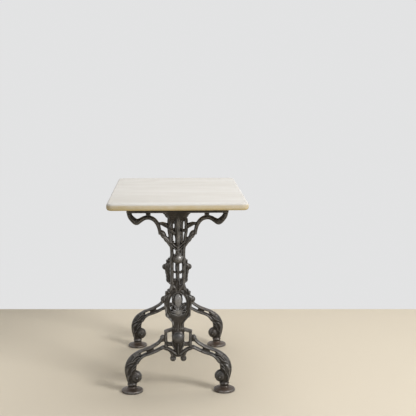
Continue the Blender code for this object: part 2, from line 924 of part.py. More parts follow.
def stretcher():
    """The bar between the frames, with a turned-down spigot through each boss."""
    shoulder = FRAME_SPACING / 2 - BOSS_DEPTH / 2 - SEAT_GAP
    tip = (
        FRAME_SPACING / 2
        + BOSS_DEPTH / 2
        + 2 * SEAT_GAP
        + WASHER_THICKNESS
        + CAP_NUT_BORE_DEPTH
        - SPIGOT_END_GAP
    )
    half = (
        (STRETCHER_RADIUS, 0.0),
        (STRETCHER_RADIUS, shoulder - 0.0420),
        (STRETCHER_RADIUS + 0.0030, shoulder - 0.0380),
        (STRETCHER_RADIUS + 0.0030, shoulder - 0.0320),
        (STRETCHER_RADIUS, shoulder - 0.0280),
        (STRETCHER_RADIUS, shoulder - 0.0080),
        (STRETCHER_RADIUS + 0.0040, shoulder - 0.0060),
        (STRETCHER_RADIUS + 0.0040, shoulder),
        (STRETCHER_SPIGOT_RADIUS, shoulder),
        (STRETCHER_SPIGOT_RADIUS, tip - 0.0010),
        (STRETCHER_SPIGOT_RADIUS - 0.0010, tip),
    )
    profile = [(radius, -height) for radius, height in reversed(half[1:])]
    profile += list(half[1:])
    return turned(
        "stretcher_bar",
        profile,
        (0, 0, BOSS_HEIGHT),
        along="-Y",
        kind="iron",
    )


def washer(name, end):
    """A flat washer between a boss and its cap nut."""
    near = FRAME_SPACING / 2 + BOSS_DEPTH / 2 + SEAT_GAP
    inner = STRETCHER_SPIGOT_RADIUS + HOLE_CLEARANCE
    made = turned(
        name,
        ((WASHER_RADIUS, near), (WASHER_RADIUS, near + WASHER_THICKNESS)),
        (0, 0, 0),
        segments=20,
        along="-Y",
        kind="iron",
    )
    bore = hidden(
        turned(
            name + " bore",
            ((inner, near - WASHER_THICKNESS), (inner, near + 2 * WASHER_THICKNESS)),
            (0, 0, 0),
            along="-Y",
        )
    )
    boolean(made, "DIFFERENCE", bore)
    return place_on_end(made, bore, end)


def cap_nut(name, end):
    """The domed nut that shows on the outside of a frame."""
    base = FRAME_SPACING / 2 + BOSS_DEPTH / 2 + 2 * SEAT_GAP + WASHER_THICKNESS
    inner = STRETCHER_SPIGOT_RADIUS + HOLE_CLEARANCE
    dome = [(CAP_NUT_RADIUS - CAP_NUT_RIM, base), (CAP_NUT_RADIUS, base + CAP_NUT_RIM)]
    steps = 5
    for step in range(1, steps + 1):
        angle = math.pi / 2 * step / steps
        dome.append(
            (
                CAP_NUT_RADIUS * math.cos(angle) if step < steps else 0.0,
                base + CAP_NUT_RIM + (CAP_NUT_HEIGHT - CAP_NUT_RIM) * math.sin(angle),
            )
        )
    made = turned(name, dome, (0, 0, 0), segments=20, along="-Y", kind="iron")
    bore = hidden(
        turned(
            name + " bore",
            ((inner, base - CAP_NUT_BORE_DEPTH), (inner, base + CAP_NUT_BORE_DEPTH)),
            (0, 0, 0),
            along="-Y",
        )
    )
    boolean(made, "DIFFERENCE", bore)
    return place_on_end(made, bore, end)


def place_on_end(piece, cutter, end):
    """Lifts a piece made on the -Y axis to the stretcher's height, at either end."""
    for item in (piece, cutter):
        item.location = (0, 0, BOSS_HEIGHT)
        item.rotation_euler = (0, 0, 0 if end < 0 else math.pi)
    return piece


def build():
    for old in list(bpy.data.objects):
        bpy.data.objects.remove(old)
    for name, end, bud in (
        ("front_end_frame", -1, FRONT_BUD_HALF_WIDTH),
        ("back_end_frame", 1, BACK_BUD_HALF_WIDTH),
    ):
        casting = end_frame_mesh(bud)
        casting.materials.append(material(name, "iron"))
        frame = bpy.data.objects.new(name, casting)
        frame.location = (0, end * FRAME_SPACING / 2, 0)
        frame.rotation_euler = (0, 0, 0 if end < 0 else math.pi)
        bpy.context.scene.collection.objects.link(frame)

    marble_top()
    stretcher()
    for end, place in ((-1, "front"), (1, "back")):
        washer(place + "_stretcher_washer", end)
        cap_nut(place + "_cap_nut", end)
    for side, hand in ((-1, "left"), (1, "right")):
        top_rail(hand + "_top_rail", side)
        for end, place in ((-1, "front"), (1, "back")):
            across, along = side * RAIL_X, end * FRAME_SPACING / 2
            rail_screw(f"rail_screw_{place}_{hand}", across, along)
            top_pad(f"top_pad_{place}_{hand}", across, along - end * PAD_INSET)


build()
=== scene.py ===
"""A bistro table: a marble slab on two pierced cast-iron end frames.

The members of a casting are surfaces worked out on grids of two parameters. They are
melted into one skin, which gives the soft fillets of cast iron, and the skin carries a
relief attribute that the iron reads: its ridges turn grey, partly bare iron and partly
painted highlight, and its hollows turn dark by painted shade. Sizes of the castings are
written in millimetres, on a frame that stands in the XZ plane, and are brought to metres
when a mesh is made.
"""

import math

import bmesh
import bpy
import numpy as np
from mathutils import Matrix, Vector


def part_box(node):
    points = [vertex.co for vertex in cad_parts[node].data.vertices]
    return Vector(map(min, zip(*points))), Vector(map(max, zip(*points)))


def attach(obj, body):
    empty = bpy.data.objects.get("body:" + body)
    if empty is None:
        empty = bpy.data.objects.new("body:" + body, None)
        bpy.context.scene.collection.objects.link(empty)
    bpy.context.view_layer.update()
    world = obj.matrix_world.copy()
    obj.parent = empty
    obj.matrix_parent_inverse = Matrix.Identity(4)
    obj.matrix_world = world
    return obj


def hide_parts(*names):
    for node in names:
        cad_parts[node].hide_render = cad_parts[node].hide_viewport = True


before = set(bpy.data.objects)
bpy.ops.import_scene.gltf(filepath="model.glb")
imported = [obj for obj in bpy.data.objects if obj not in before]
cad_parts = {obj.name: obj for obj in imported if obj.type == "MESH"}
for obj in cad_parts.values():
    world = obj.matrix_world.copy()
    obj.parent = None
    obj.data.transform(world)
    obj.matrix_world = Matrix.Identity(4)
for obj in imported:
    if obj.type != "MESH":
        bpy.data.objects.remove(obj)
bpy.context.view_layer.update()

# ---------------------------------------------------------------- sizes

MM = 0.001
FRAME_Y = 0.285  # metres from the slab's middle to the middle plane of each end frame
SLAB_LOW, SLAB_HIGH = (np.array(corner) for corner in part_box("marble_top"))
SLAB_CORNER = 0.024  # metres, radius of a corner in plan
SLAB_EDGE = 0.0095  # metres that the rounded edge runs in from the outline

# The rest of the sizes are in millimetres.
FOOT_X = 171.0  # axis of a foot
BOSS_Z = 210.0  # axis of the stretcher
ROSETTE_Z = 502.0  # axis of the domed rosette
FLANGE_Z = 671.1  # underside of the flange
FLANGE_THICKNESS = 12.0
FLANGE_HALF = (184.0, 17.0)  # half width and half depth
FRONT_BUD = 17.5  # half width of the bud in each urn
BACK_BUD = 8.5
BOSS_HALF_DEPTH = 17.0
SEAT_GAP = 0.3  # left between pieces that touch
SPIGOT_RADIUS = 6.0  # of the stretcher's ends
SPIGOT_REACH = 10.0  # of a spigot into its nut
BORE_RADIUS = SPIGOT_RADIUS + SEAT_GAP
WASHER_RADIUS = 19.0
WASHER_THICKNESS = 2.5
WASHER_SEAT = FRAME_Y / MM + BOSS_HALF_DEPTH + SEAT_GAP  # from the slab's middle
NUT_SEAT = WASHER_SEAT + WASHER_THICKNESS + SEAT_GAP
NUT_RADIUS = 20.5
NUT_BARREL = 3.0  # height of the barrel under the dome
NUT_DOME = 14.0  # height of the dome
PAINTED_HIGHLIGHTS = (  # x, z, half width, half height and share of each painted highlight
    (1.0, 344.0, 17.0, 29.0, 1.0),  # bud
    (0.0, 302.0, 23.0, 12.0, 1.0),  # shell
    (8.0, 509.0, 11.0, 10.0, 1.0),  # knob of the rosette
    (4.0, 536.0, 5.0, 16.0, 0.6),  # stem of the column, going up
    (5.0, 583.0, 6.0, 22.0, 0.6),
    (3.0, 632.0, 7.0, 18.0, 0.7),
    (182.0, 98.0, 7.0, 22.0, 0.35),  # scroll of one leg
    (-43.5, 314.0, 3.5, 10.0, 0.6),  # leaf edge of the urn, going down
    (-38.5, 290.0, 4.0, 7.0, 0.8),
    (-29.0, 276.5, 5.0, 5.5, 0.9),
    (-18.5, 263.0, 3.5, 8.0, 0.9),
    (30.0, 277.0, 4.0, 6.0, 0.3),  # and on its other side
)
LEGS_VOXEL = 1.5  # cell of the grid that each skin is melted on
ARMS_VOXEL = 1.3
URN_VOXEL = 1.1
RELIEF_SPREAD = 7.26  # rings of neighbours that the relief is measured over, times the cell squared
RELIEF_RANGE = 0.55  # from the deepest hollow to the highest ridge that the relief tells apart

REST_BODY = "root"  # nothing on the table moves

# ---------------------------------------------------------------- colours

OLD_PAINT = (0.0150, 0.0133, 0.0108, 1.0)
FADED_PAINT = (0.038, 0.034, 0.029, 1.0)
RUST = (0.098, 0.070, 0.054, 1.0)
FOOT_RUST = (0.115, 0.079, 0.056, 1.0)
BARE_RIDGE_AND_HIGHLIGHT = (0.180, 0.175, 0.170, 1.0)
HOLLOW_SHADE = (0.008, 0.007, 0.006, 1.0)
PAINTED_HIGHLIGHT_GREY = (0.310, 0.305, 0.302, 1.0)
NUT_DARK = (0.052, 0.050, 0.048, 1.0)
NUT_LIGHT = (0.115, 0.112, 0.112, 1.0)
NUT_RIM = (0.055, 0.044, 0.036, 1.0)
MARBLE_GREY = (0.600, 0.580, 0.545, 1.0)
MARBLE_WHITE = (0.665, 0.652, 0.625, 1.0)
MARBLE_STREAK = (0.545, 0.515, 0.460, 1.0)
MARBLE_SHADE = (0.480, 0.460, 0.420, 1.0)
EDGE_TAN = (0.580, 0.480, 0.290, 1.0)
EDGE_BROWN_AND_SHADE = (0.300, 0.235, 0.120, 1.0)
EDGE_YELLOW_AND_SHADE = (0.520, 0.410, 0.180, 1.0)
FELT_DARK = (0.055, 0.048, 0.040, 1.0)
FELT_LIGHT = (0.130, 0.115, 0.098, 1.0)
FLOOR_COLOUR = (0.64, 0.575, 0.465, 1.0)
WALL_COLOUR = (0.765, 0.768, 0.772, 1.0)

# ---------------------------------------------------------------- camera and stage

# Places and sizes here are in metres, as the frame is.
CAMERA_PLACE = (-0.022, -3.5023, 1.1602)
CAMERA_PITCH = 8.363  # degrees below the horizon
CAMERA_YAW = -2.352  # degrees, to the right
CAMERA_LENS = 77.88  # millimetres, on a sensor of 36
WALL_Y = 0.90
WALL_TURN = -2.35  # degrees, square to the view
WALL_HEIGHT = 20.0
ROOM_REACH = 30.0  # of the floor and the wall, to each side
EVEN_LIGHT = 0.38  # strength of the light from all round
LAMPS = (  # name, place, aim, diameter, watts and colour
    ("window", (3.2, -2.9, 3.0), (0.0, 0.0, 0.4), 1.7, 165.0, (1.0, 0.99, 0.98)),
    ("fill", (-2.6, -2.6, 1.7), (0.0, 0.0, 0.4), 2.2, 11.0, (0.96, 0.98, 1.0)),
    ("above", (0.3, 0.35, 3.2), (0.0, 0.2, 0.7), 2.0, 33.0, (1.0, 1.0, 1.0)),
)


def set_camera():
    """The photograph's viewpoint."""
    lens = bpy.data.cameras.new("view")
    lens.lens = CAMERA_LENS
    lens.sensor_width = 36.0
    lens.clip_end = 60.0
    camera = bpy.data.objects.new("view", lens)
    camera.location = CAMERA_PLACE
    camera.rotation_euler = (
        math.radians(90.0 - CAMERA_PITCH),
        0.0,
        math.radians(CAMERA_YAW),
    )
    bpy.context.scene.collection.objects.link(camera)
    bpy.context.scene.camera = camera


def area_lamp(name, place, aim, size, power, colour):
    """A soft round lamp that faces a point."""
    lamp = bpy.data.lights.new(name, "AREA")
    lamp.shape = "DISK"
    lamp.size = size
    lamp.energy = power
    lamp.color = colour
    made = bpy.data.objects.new(name, lamp)
    made.location = place
    away = np.array(place, float) - np.array(aim, float)
    made.rotation_euler = (
        math.atan2(math.hypot(away[0], away[1]), away[2]),
        0.0,
        math.atan2(away[0], -away[1]),
    )
    bpy.context.scene.collection.objects.link(made)


# ---------------------------------------------------------------- node helpers


class Nodes:
    """Builds one material's nodes in order."""

    def __init__(self, name):
        self.material = bpy.data.materials.new(name)
        self.material.use_nodes = True
        self.tree = self.material.node_tree
        self.shader = self.tree.nodes["Principled BSDF"]

    def add(self, kind, inputs=None, **settings):
        """One node, with its settings and its inputs by name or number."""
        node = self.tree.nodes.new(kind)
        for key, value in settings.items():
            setattr(node, key, value)
        for key, value in (inputs or {}).items():
            self.put(node.inputs[key], value)
        return node

    def put(self, socket, value):
        """Links an output, or writes a constant."""
        if isinstance(value, bpy.types.NodeSocket):
            self.tree.links.new(value, socket)
        else:
            socket.default_value = value

    def place(self):
        """Object coordinates."""
        return self.add("ShaderNodeTexCoord").outputs["Object"]

    def mapped(self, scale, turn=(0.0, 0.0, 0.0)):
        """Object coordinates, turned and stretched by a scale for each axis."""
        inputs = {"Vector": self.place(), "Scale": scale, "Rotation": turn}
        return self.add("ShaderNodeMapping", inputs).outputs["Vector"]

    def axis(self, vector, name):
        """The X, Y or Z of a vector."""
        return self.add("ShaderNodeSeparateXYZ", {0: vector}).outputs[name]

    def stored(self, name):
        """A value that the mesh carries on its vertices."""
        return self.add("ShaderNodeAttribute", attribute_name=name).outputs["Fac"]

    def noise(self, scale, detail=3.0, roughness=0.55, vector=None, distortion=0.0):
        """Cloudy noise between 0 and 1."""
        source = vector or self.place()
        made = self.add(
            "ShaderNodeTexNoise",
            {
                "Vector": source,
                "Scale": scale,
                "Detail": detail,
                "Roughness": roughness,
                "Distortion": distortion,
            },
        )
        return made.outputs["Fac"]

    def ramp(self, value, low, high, first=0.0, last=1.0):
        """A smooth step of a value between two levels."""
        made = self.add(
            "ShaderNodeMapRange",
            {
                "Value": value,
                "From Min": low,
                "From Max": high,
                "To Min": first,
                "To Max": last,
            },
            interpolation_type="SMOOTHSTEP",
        )
        return made.outputs["Result"]

    def maths(self, operation, a, b):
        """Arithmetic on two values."""
        made = self.add("ShaderNodeMath", {0: a, 1: b}, operation=operation)
        return made.outputs["Value"]

    def times(self, a, b):
        """The product of two values."""
        return self.maths("MULTIPLY", a, b)

    def mix(self, share, a, b):
        """Colour a turned into colour b by a share."""
        made = self.add("ShaderNodeMix", data_type="RGBA")
        for socket, value in ((0, share), (6, a), (7, b)):
            self.put(made.inputs[socket], value)
        return made.outputs[2]

    def bump(self, height, distance, strength, below=None):
        """A bump from a height, laid over another where one is given."""
        inputs = {"Height": height, "Distance": distance, "Strength": strength}
        if below is not None:
            inputs["Normal"] = below
        return self.add("ShaderNodeBump", inputs).outputs["Normal"]

    def finish(self, colour, roughness, normal=None, **constants):
        """Joins the results to the shader."""
        self.put(self.shader.inputs["Base Color"], colour)
        self.put(self.shader.inputs["Roughness"], roughness)
        if normal is not None:
            self.put(self.shader.inputs["Normal"], normal)
        for key, value in constants.items():
            self.shader.inputs[key.replace("_", " ")].default_value = value
        return self.material


def cast_iron(name, wear_and_painted_light=True):
    """Old painted cast iron: brown-black, rusty where it faces up, grey on ridges by bare iron
    and a painted highlight, dark in hollows by painted shade.
    """
    n = Nodes(name)
    cloud = n.noise(38.0, 5.0, 0.6)
    patches = n.noise(11.0, 4.0, 0.6, distortion=0.4)
    grain = n.noise(620.0, 2.0, 0.6)
    pits = n.noise(190.0, 3.0, 0.55)
    colour = n.mix(n.ramp(cloud, 0.35, 0.7), OLD_PAINT, FADED_PAINT)
    # Rust in patches, most on what faces up.
    upward = n.axis(n.add("ShaderNodeNewGeometry").outputs["Normal"], "Z")
    upward = n.maths("ADD", n.ramp(upward, 0.15, 0.9), 0.22)
    rusty = n.times(n.ramp(patches, 0.36, 0.62), upward)
    colour = n.mix(n.times(rusty, 0.55), colour, RUST)
    # More of it on the discs of the feet.
    foot = n.ramp(n.axis(n.place(), "Z"), 0.040, 0.012)
    foot = n.times(foot, n.ramp(patches, 0.2, 0.6))
    colour = n.mix(n.times(foot, 0.68), colour, FOOT_RUST)
    if wear_and_painted_light:
        # Grey ridges, partly bare iron and partly painted highlight; dark hollows, painted
        # shade; and bright places, painted highlights.
        relief = n.stored("relief")
        rubbed_and_highlit = n.times(n.ramp(relief, 0.54, 0.80), n.ramp(n.noise(75.0), 0.28, 0.60))
        colour = n.mix(n.times(rubbed_and_highlit, 0.60), colour, BARE_RIDGE_AND_HIGHLIGHT)
        # Painted shade: the hollows are darkened.
        hollow = n.ramp(relief, 0.46, 0.22)
        colour = n.mix(n.times(hollow, 0.5), colour, HOLLOW_SHADE)
        # Painted highlights on the listed places, broken up by noise.
        uneven = n.ramp(n.noise(95.0, 4.0), 0.15, 0.60, 0.45, 1.0)
        painted_highlight = n.times(n.stored("painted_highlight"), uneven)
        colour = n.mix(n.times(painted_highlight, 0.80), colour, PAINTED_HIGHLIGHT_GREY)
    sheen = n.maths("ADD", cloud, n.times(grain, 0.35))
    roughness = n.ramp(sheen, 0.4, 0.95, 0.28, 0.46)
    normal = n.bump(pits, 0.0011, 0.55)
    normal = n.bump(grain, 0.00022, 0.5, normal)
    return n.finish(colour, roughness, normal, Metallic=0.35)


def rubbed_and_highlit_iron():
    """The iron of the domed nuts: greyer than the frames', partly bare iron from rubbing and
    partly painted highlight, and browner low on the rim.
    """
    n = Nodes("rubbed iron")
    cloud = n.noise(60.0, 4.0, 0.6)
    # Lighter than the frames' iron: bare iron from rubbing, with a painted highlight.
    colour = n.mix(n.ramp(cloud, 0.3, 0.7), NUT_DARK, NUT_LIGHT)
    low = n.ramp(n.axis(n.place(), "Z"), BOSS_Z * MM - 0.004, BOSS_Z * MM - 0.020)
    colour = n.mix(n.times(low, 0.6), colour, NUT_RIM)
    normal = n.bump(n.noise(240.0), 0.0006, 0.5)
    return n.finish(colour, n.ramp(cloud, 0.3, 0.7, 0.46, 0.36), normal, Metallic=0.5)


def old_marble():
    """Warm white marble with soft streaks across it, painted shade towards the left, and a tan
    edge stained by handling, with painted shade on its left and low down.
    """
    n = Nodes("old marble")
    cloud = n.noise(3.2, 5.0, 0.55, n.mapped((1.0, 2.6, 1.0)), 0.5)
    streak = n.noise(5.0, 3.0, 0.5, n.mapped((0.45, 5.5, 1.0), (0.0, 0.0, 0.05)), 0.3)
    colour = n.mix(n.ramp(cloud, 0.3, 0.72), MARBLE_GREY, MARBLE_WHITE)
    streaked = n.times(n.ramp(streak, 0.42, 0.72), 0.30)
    colour = n.mix(streaked, colour, MARBLE_STREAK)
    # Painted shade: the slab is darker towards the left.
    shade_to_left = n.ramp(n.axis(n.place(), "X"), -0.05, -0.25)
    colour = n.mix(n.times(shade_to_left, 0.16), colour, MARBLE_SHADE)
    # The stain of the edge starts at an uneven height. Its brown is partly stain and partly
    # painted shade, which is stronger on the left.
    uneven = n.times(n.maths("SUBTRACT", cloud, 0.5), 0.003)
    height = n.maths("ADD", n.axis(n.place(), "Z"), uneven)
    top = float(SLAB_HIGH[2])
    edge = n.ramp(height, top - 0.0040, top - 0.0110)
    stain = n.times(n.ramp(n.noise(26.0, 5.0, 0.65), 0.25, 0.75, 0.6, 1.0), edge)
    colour = n.mix(n.times(stain, 0.86), colour, EDGE_TAN)
    # Brown stain with painted shade, stronger towards the left.
    brown_and_left_shade = n.times(n.maths("ADD", shade_to_left, 0.35), 0.30)
    colour = n.mix(n.times(stain, brown_and_left_shade), colour, EDGE_BROWN_AND_SHADE)
    # Yellow stain and painted shade low on the edge, where the bullnose turns under.
    low = n.ramp(height, top - 0.0140, top - 0.0235)
    colour = n.mix(n.times(low, 0.60), colour, EDGE_YELLOW_AND_SHADE)
    return n.finish(colour, 0.6, Specular_IOR_Level=0.02)


def pressed_felt():
    """Grey-brown felt, mottled by its fibres."""
    n = Nodes("pressed felt")
    fibre = n.noise(900.0, 4.0, 0.75)
    colour = n.mix(fibre, FELT_DARK, FELT_LIGHT)
    return n.finish(colour, 0.95, n.bump(fibre, 0.0006, 0.8), Sheen_Weight=0.3)


def sees_background(tree):
    """1 for the rays that show the background itself: camera, glossy and transmission."""
    path = tree.nodes.new("ShaderNodeLightPath")
    total = path.outputs["Is Camera Ray"]
    for kind in ("Is Glossy Ray", "Is Transmission Ray"):
        either = tree.nodes.new("ShaderNodeMath")
        either.operation = "MAXIMUM"
        tree.links.new(total, either.inputs[0])
        tree.links.new(path.outputs[kind], either.inputs[1])
        total = either.outputs[0]
    return total


def mixed(tree, share, first, second):
    """The first shader turned into the second by a share."""
    blend = tree.nodes.new("ShaderNodeMixShader")
    for socket, source in enumerate((share, first, second)):
        tree.links.new(source, blend.inputs[socket])
    return blend.outputs[0]


def plain_wall():
    """A wall that shows in its own colour from the room, and is open seen from behind."""
    made = bpy.data.materials.new("plain wall")
    made.use_nodes = True
    tree = made.node_tree
    tree.nodes.remove(tree.nodes["Principled BSDF"])
    diffuse = tree.nodes.new("ShaderNodeBsdfDiffuse")
    diffuse.inputs["Color"].default_value = WALL_COLOUR
    glow = tree.nodes.new("ShaderNodeEmission")
    glow.inputs["Color"].default_value = WALL_COLOUR
    clear = tree.nodes.new("ShaderNodeBsdfTransparent")
    behind = tree.nodes.new("ShaderNodeNewGeometry").outputs["Backfacing"]
    room = mixed(tree, sees_background(tree), diffuse.outputs[0], glow.outputs[0])
    surface = mixed(tree, behind, room, clear.outputs[0])
    tree.links.new(surface, tree.nodes["Material Output"].inputs["Surface"])
    return made


def even_light():
    """Even light from all round, which shows as the wall's colour where it is seen."""
    world = bpy.data.worlds.new("even light")
    world.use_nodes = True
    tree = world.node_tree
    sky = tree.nodes["Background"]
    sky.inputs["Color"].default_value = (1.0, 1.0, 1.0, 1.0)
    sky.inputs["Strength"].default_value = EVEN_LIGHT
    seen = tree.nodes.new("ShaderNodeBackground")
    seen.inputs["Color"].default_value = WALL_COLOUR
    shown = mixed(tree, sees_background(tree), sky.outputs[0], seen.outputs[0])
    tree.links.new(shown, tree.nodes["World Output"].inputs["Surface"])
    return world


# ---------------------------------------------------------------- surfaces on grids


def smooth_curve(knots, steps):
    """A curve through knots, each a row of one or more values.

    Each stretch is the cubic that leaves and meets its knots along the line between
    their neighbours.
    """
    knots = np.asarray(knots, float)
    padded = np.vstack([2 * knots[:1] - knots[1:2], knots, 2 * knots[-1:] - knots[-2:-1]])
    a, b, c, d = (padded[i : len(padded) - 3 + i, None] for i in range(4))
    t = (np.arange(steps) / steps)[None, :, None]
    cubic = 0.5 * (
        2 * b
        + (c - a) * t
        + (2 * a - 5 * b + 4 * c - d) * t**2
        + (3 * b - a - 3 * c + d) * t**3
    )
    return np.vstack([cubic.reshape(-1, knots.shape[1]), knots[-1:]])


def grid_quads(rows, columns):
    """The quads of a grid of points that is closed round its columns."""
    here = np.arange(columns)
    there = (here + 1) % columns
    row = np.arange(rows - 1)[:, None] * columns
    quads = (row + here, row + there, row + columns + there, row + columns + here)
    return np.stack(quads, axis=-1).reshape(-1, 4)


def closed_grid(rings):
    """Points and faces of a closed skin through rings, with a pole at each end.

    The rings are an array of rows, columns and places. Each pole is the mean of its ring.
    """
    rows, columns = rings.shape[:2]
    points = np.vstack([rings.reshape(-1, 3), rings[0].mean(0), rings[-1].mean(0)])
    here = np.arange(columns)
    there = (here + 1) % columns
    first, last = rows * columns, rows * columns + 1
    end = (rows - 1) * columns
    caps = np.vstack(
        [
            np.stack([np.full(columns, first), there, here], axis=-1),
            np.stack([np.full(columns, last), end + here, end + there], axis=-1),
        ]
    )
    return points, grid_quads(rows, columns), caps


def outline(sides, power):
    """Points of a superellipse: cosine and sine, each raised to 2 over the power."""
    angle = math.tau * np.arange(sides) / sides
    across, deep = np.cos(angle), np.sin(angle)
    return (
        np.sign(across) * np.abs(across) ** (2 / power),
        np.sign(deep) * np.abs(deep) ** (2 / power),
    )


def bar(knots, side=1, power=2.7, bead=0.0, sides=24, steps=6, ends=0.8):
    """A cast bar in the frame's plane through (x, z, width, depth) knots.

    A superellipse is carried square to the path. Its depth swells by the bead, a bell
    curve on the middle of each face, and its ends are rounded by shrinking rings.
    """
    path = smooth_curve(knots, steps)
    run = np.gradient(path[:, :2], axis=0)
    run /= np.linalg.norm(run, axis=1, keepdims=True)
    scale = np.ones(len(path))
    if ends:
        angle = np.radians([8.0, 32.0, 56.0, 76.0])
        reach = ends * 0.5 * np.minimum(path[[0, -1], 2], path[[0, -1], 3])
        before = run[:1] * reach[0] * np.cos(angle)[:, None]
        after = run[-1:] * reach[1] * np.cos(angle[::-1])[:, None]
        lead = path[:1] - np.c_[before, np.zeros((4, 2))]
        tail = path[-1:] + np.c_[after, np.zeros((4, 2))]
        path = np.vstack([lead, path, tail])
        run = np.vstack([np.repeat(run[:1], 4, 0), run, np.repeat(run[-1:], 4, 0)])
        scale = np.concatenate([np.sin(angle), scale, np.sin(angle[::-1])])
    u, v = outline(sides, power)
    v = v * (1 + bead * np.exp(-((u / 0.34) ** 2)))
    half_width = (path[:, 2] * scale / 2)[:, None] * u
    x = path[:, :1] - run[:, 1:] * half_width
    z = path[:, 1:2] + run[:, :1] * half_width
    y = (path[:, 3] * scale / 2)[:, None] * v
    return closed_grid(np.stack([side * x, y, z], axis=-1))


def pillar(levels, power=2.8, sides=48, steps=5, flutes=0, flute_depth=0.0):
    """An upright member on the middle line through (z, half width, half depth) levels.

    A superellipse is lifted through the levels. Flutes are a cosine across its faces.
    """
    path = smooth_curve(levels, steps)
    u, v = outline(sides, power)
    if flutes:
        v = v * (1 + flute_depth * (np.cos(math.pi * flutes * u) - 1) / 2)
    x = path[:, 1:2] * u
    y = path[:, 2:3] * v
    z = path[:, :1] + 0 * u
    return closed_grid(np.stack([x, y, z], axis=-1))


def ball(x, z, radius, half_depth, side, rows=16, sides=28):
    """A bead: a sphere drawn out or flattened along the frame's depth."""
    angle = math.pi * (np.arange(1, rows) / rows)[:, None]
    turn = (math.tau * np.arange(sides) / sides)[None]
    across = radius * np.sin(angle) * np.cos(turn)
    up = radius * np.sin(angle) * np.sin(turn)
    deep = half_depth * np.cos(angle) + 0 * turn
    return closed_grid(np.stack([side * (x + across), deep, z + up], axis=-1))


def volute(x, z, radius, half_depth, side, turns, start):
    """A spiral bead that runs in from a radius to the eye, raised on both faces.

    The radius falls in step with the angle, and the bead is deeper towards the eye.
    """
    share = np.linspace(0, 1, 34)
    angle = math.radians(start) + math.tau * turns * share
    away = radius * (1 - 0.78 * share)
    width = radius * (0.30 - 0.10 * share)
    depth = 2 * half_depth * (0.55 + 0.50 * np.sqrt(share))
    knots = np.c_[x + away * np.cos(angle), z + away * np.sin(angle), width, depth]
    return bar(knots, side, power=2.0, sides=16, steps=1)


def turned(profile, x, z, sides=56, steps=1, along="Z"):
    """A solid of revolution from (radius, height) points, upright or front to back."""
    path = smooth_curve(profile, steps)
    turn = (math.tau * np.arange(sides) / sides)[None]
    near = path[:, :1] * np.cos(turn)
    far = path[:, :1] * np.sin(turn)
    height = path[:, 1:2] + 0 * turn
    if along == "Z":
        return closed_grid(np.stack([x + near, far, z + height], axis=-1))
    return closed_grid(np.stack([x + near, -height, z + far], axis=-1))


def both_faces(profile):
    """A profile of (radius, height) points and its mirror image at the other height."""
    return tuple(profile) + tuple((radius, -height) for radius, height in profile[::-1])


def box(low, high):
    """A closed box: the rectangle between two corners, carried up from one to the other."""
    ends = np.array([low, high], float)
    rings = np.empty((2, 4, 3))
    rings[:, :, 0] = ends[[0, 1, 1, 0], 0]
    rings[:, :, 1] = ends[[0, 0, 1, 1], 1]
    rings[:, :, 2] = ends[:, 2:]
    return closed_grid(rings)


def leaf(knots, side=1, rise=0.34, sides=18, steps=6):
    """A cast leaf lobe: a pointed bar, lens-shaped, with a strong middle rib."""
    return bar(knots, side, power=1.9, bead=rise, sides=sides, steps=steps, ends=0.4)


# ---------------------------------------------------------------- meshes and pieces


def gather(members):
    """One set of points and faces from many."""
    points, quads, triangles, start = [], [], [], 0
    for member_points, member_quads, member_triangles in members:
        points.append(member_points)
        quads.append(member_quads + start)
        triangles.append(member_triangles + start)
        start += len(member_points)
    return np.vstack(points), np.vstack(quads), np.vstack(triangles)


def mesh_from(name, members, scale=1.0):
    """A mesh of the members' points and faces."""
    points, quads, triangles = gather(members)
    mesh = bpy.data.meshes.new(name)
    faces = quads.tolist() + triangles.tolist()
    mesh.from_pydata((points * scale).tolist(), [], faces)
    mesh.update()
    return mesh


def outward(mesh):
    """Makes the faces of a closed mesh point outwards."""
    shape = bmesh.new()
    shape.from_mesh(mesh)
    bmesh.ops.recalc_face_normals(shape, faces=shape.faces)
    shape.to_mesh(mesh)
    shape.free()


def piece(name, mesh, material, slot, *nodes):
    """A finished piece in the model, standing for its CAD nodes."""
    made = bpy.data.objects.new(name, mesh)
    bpy.context.scene.collection.objects.link(made)
    mesh.materials.append(material)
    mesh.shade_smooth()
    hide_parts(*nodes)
    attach(made, REST_BODY)


def melted(name, members, voxel):
    """The members melted into one skin by a voxel remesh and a short smoothing."""
    source = bpy.data.objects.new(name + " members", mesh_from(name + " members", members))
    bpy.context.scene.collection.objects.link(source)
    remesh = source.modifiers.new("Melt", "REMESH")
    remesh.mode = "VOXEL"
    remesh.voxel_size = voxel
    remesh.adaptivity = 0.0
    ease = source.modifiers.new("Ease", "SMOOTH")
    ease.factor = 0.5
    ease.iterations = 2
    bpy.context.view_layer.update()
    graph = bpy.context.evaluated_depsgraph_get()
    mesh = bpy.data.meshes.new_from_object(source.evaluated_get(graph))
    mesh.name = name
    bpy.data.objects.remove(source)
    return mesh


def points_of(mesh):
    """The vertices' places as an array."""
    flat = np.empty(len(mesh.vertices) * 3)
    mesh.vertices.foreach_get("co", flat)
    return flat.reshape(-1, 3)


def set_points(mesh, points):
    """Writes the vertices' places."""
    mesh.vertices.foreach_set("co", points.ravel())
    mesh.update()


def neighbour_mean(values, pairs, counts):
    """The mean of each vertex's neighbours."""
    total = np.stack(
        [
            np.bincount(pairs[:, 0], values[pairs[:, 1], i], len(values))
            + np.bincount(pairs[:, 1], values[pairs[:, 0], i], len(values))
            for i in range(values.shape[1])
        ],
        axis=-1,
    )
    return total / counts[:, None]


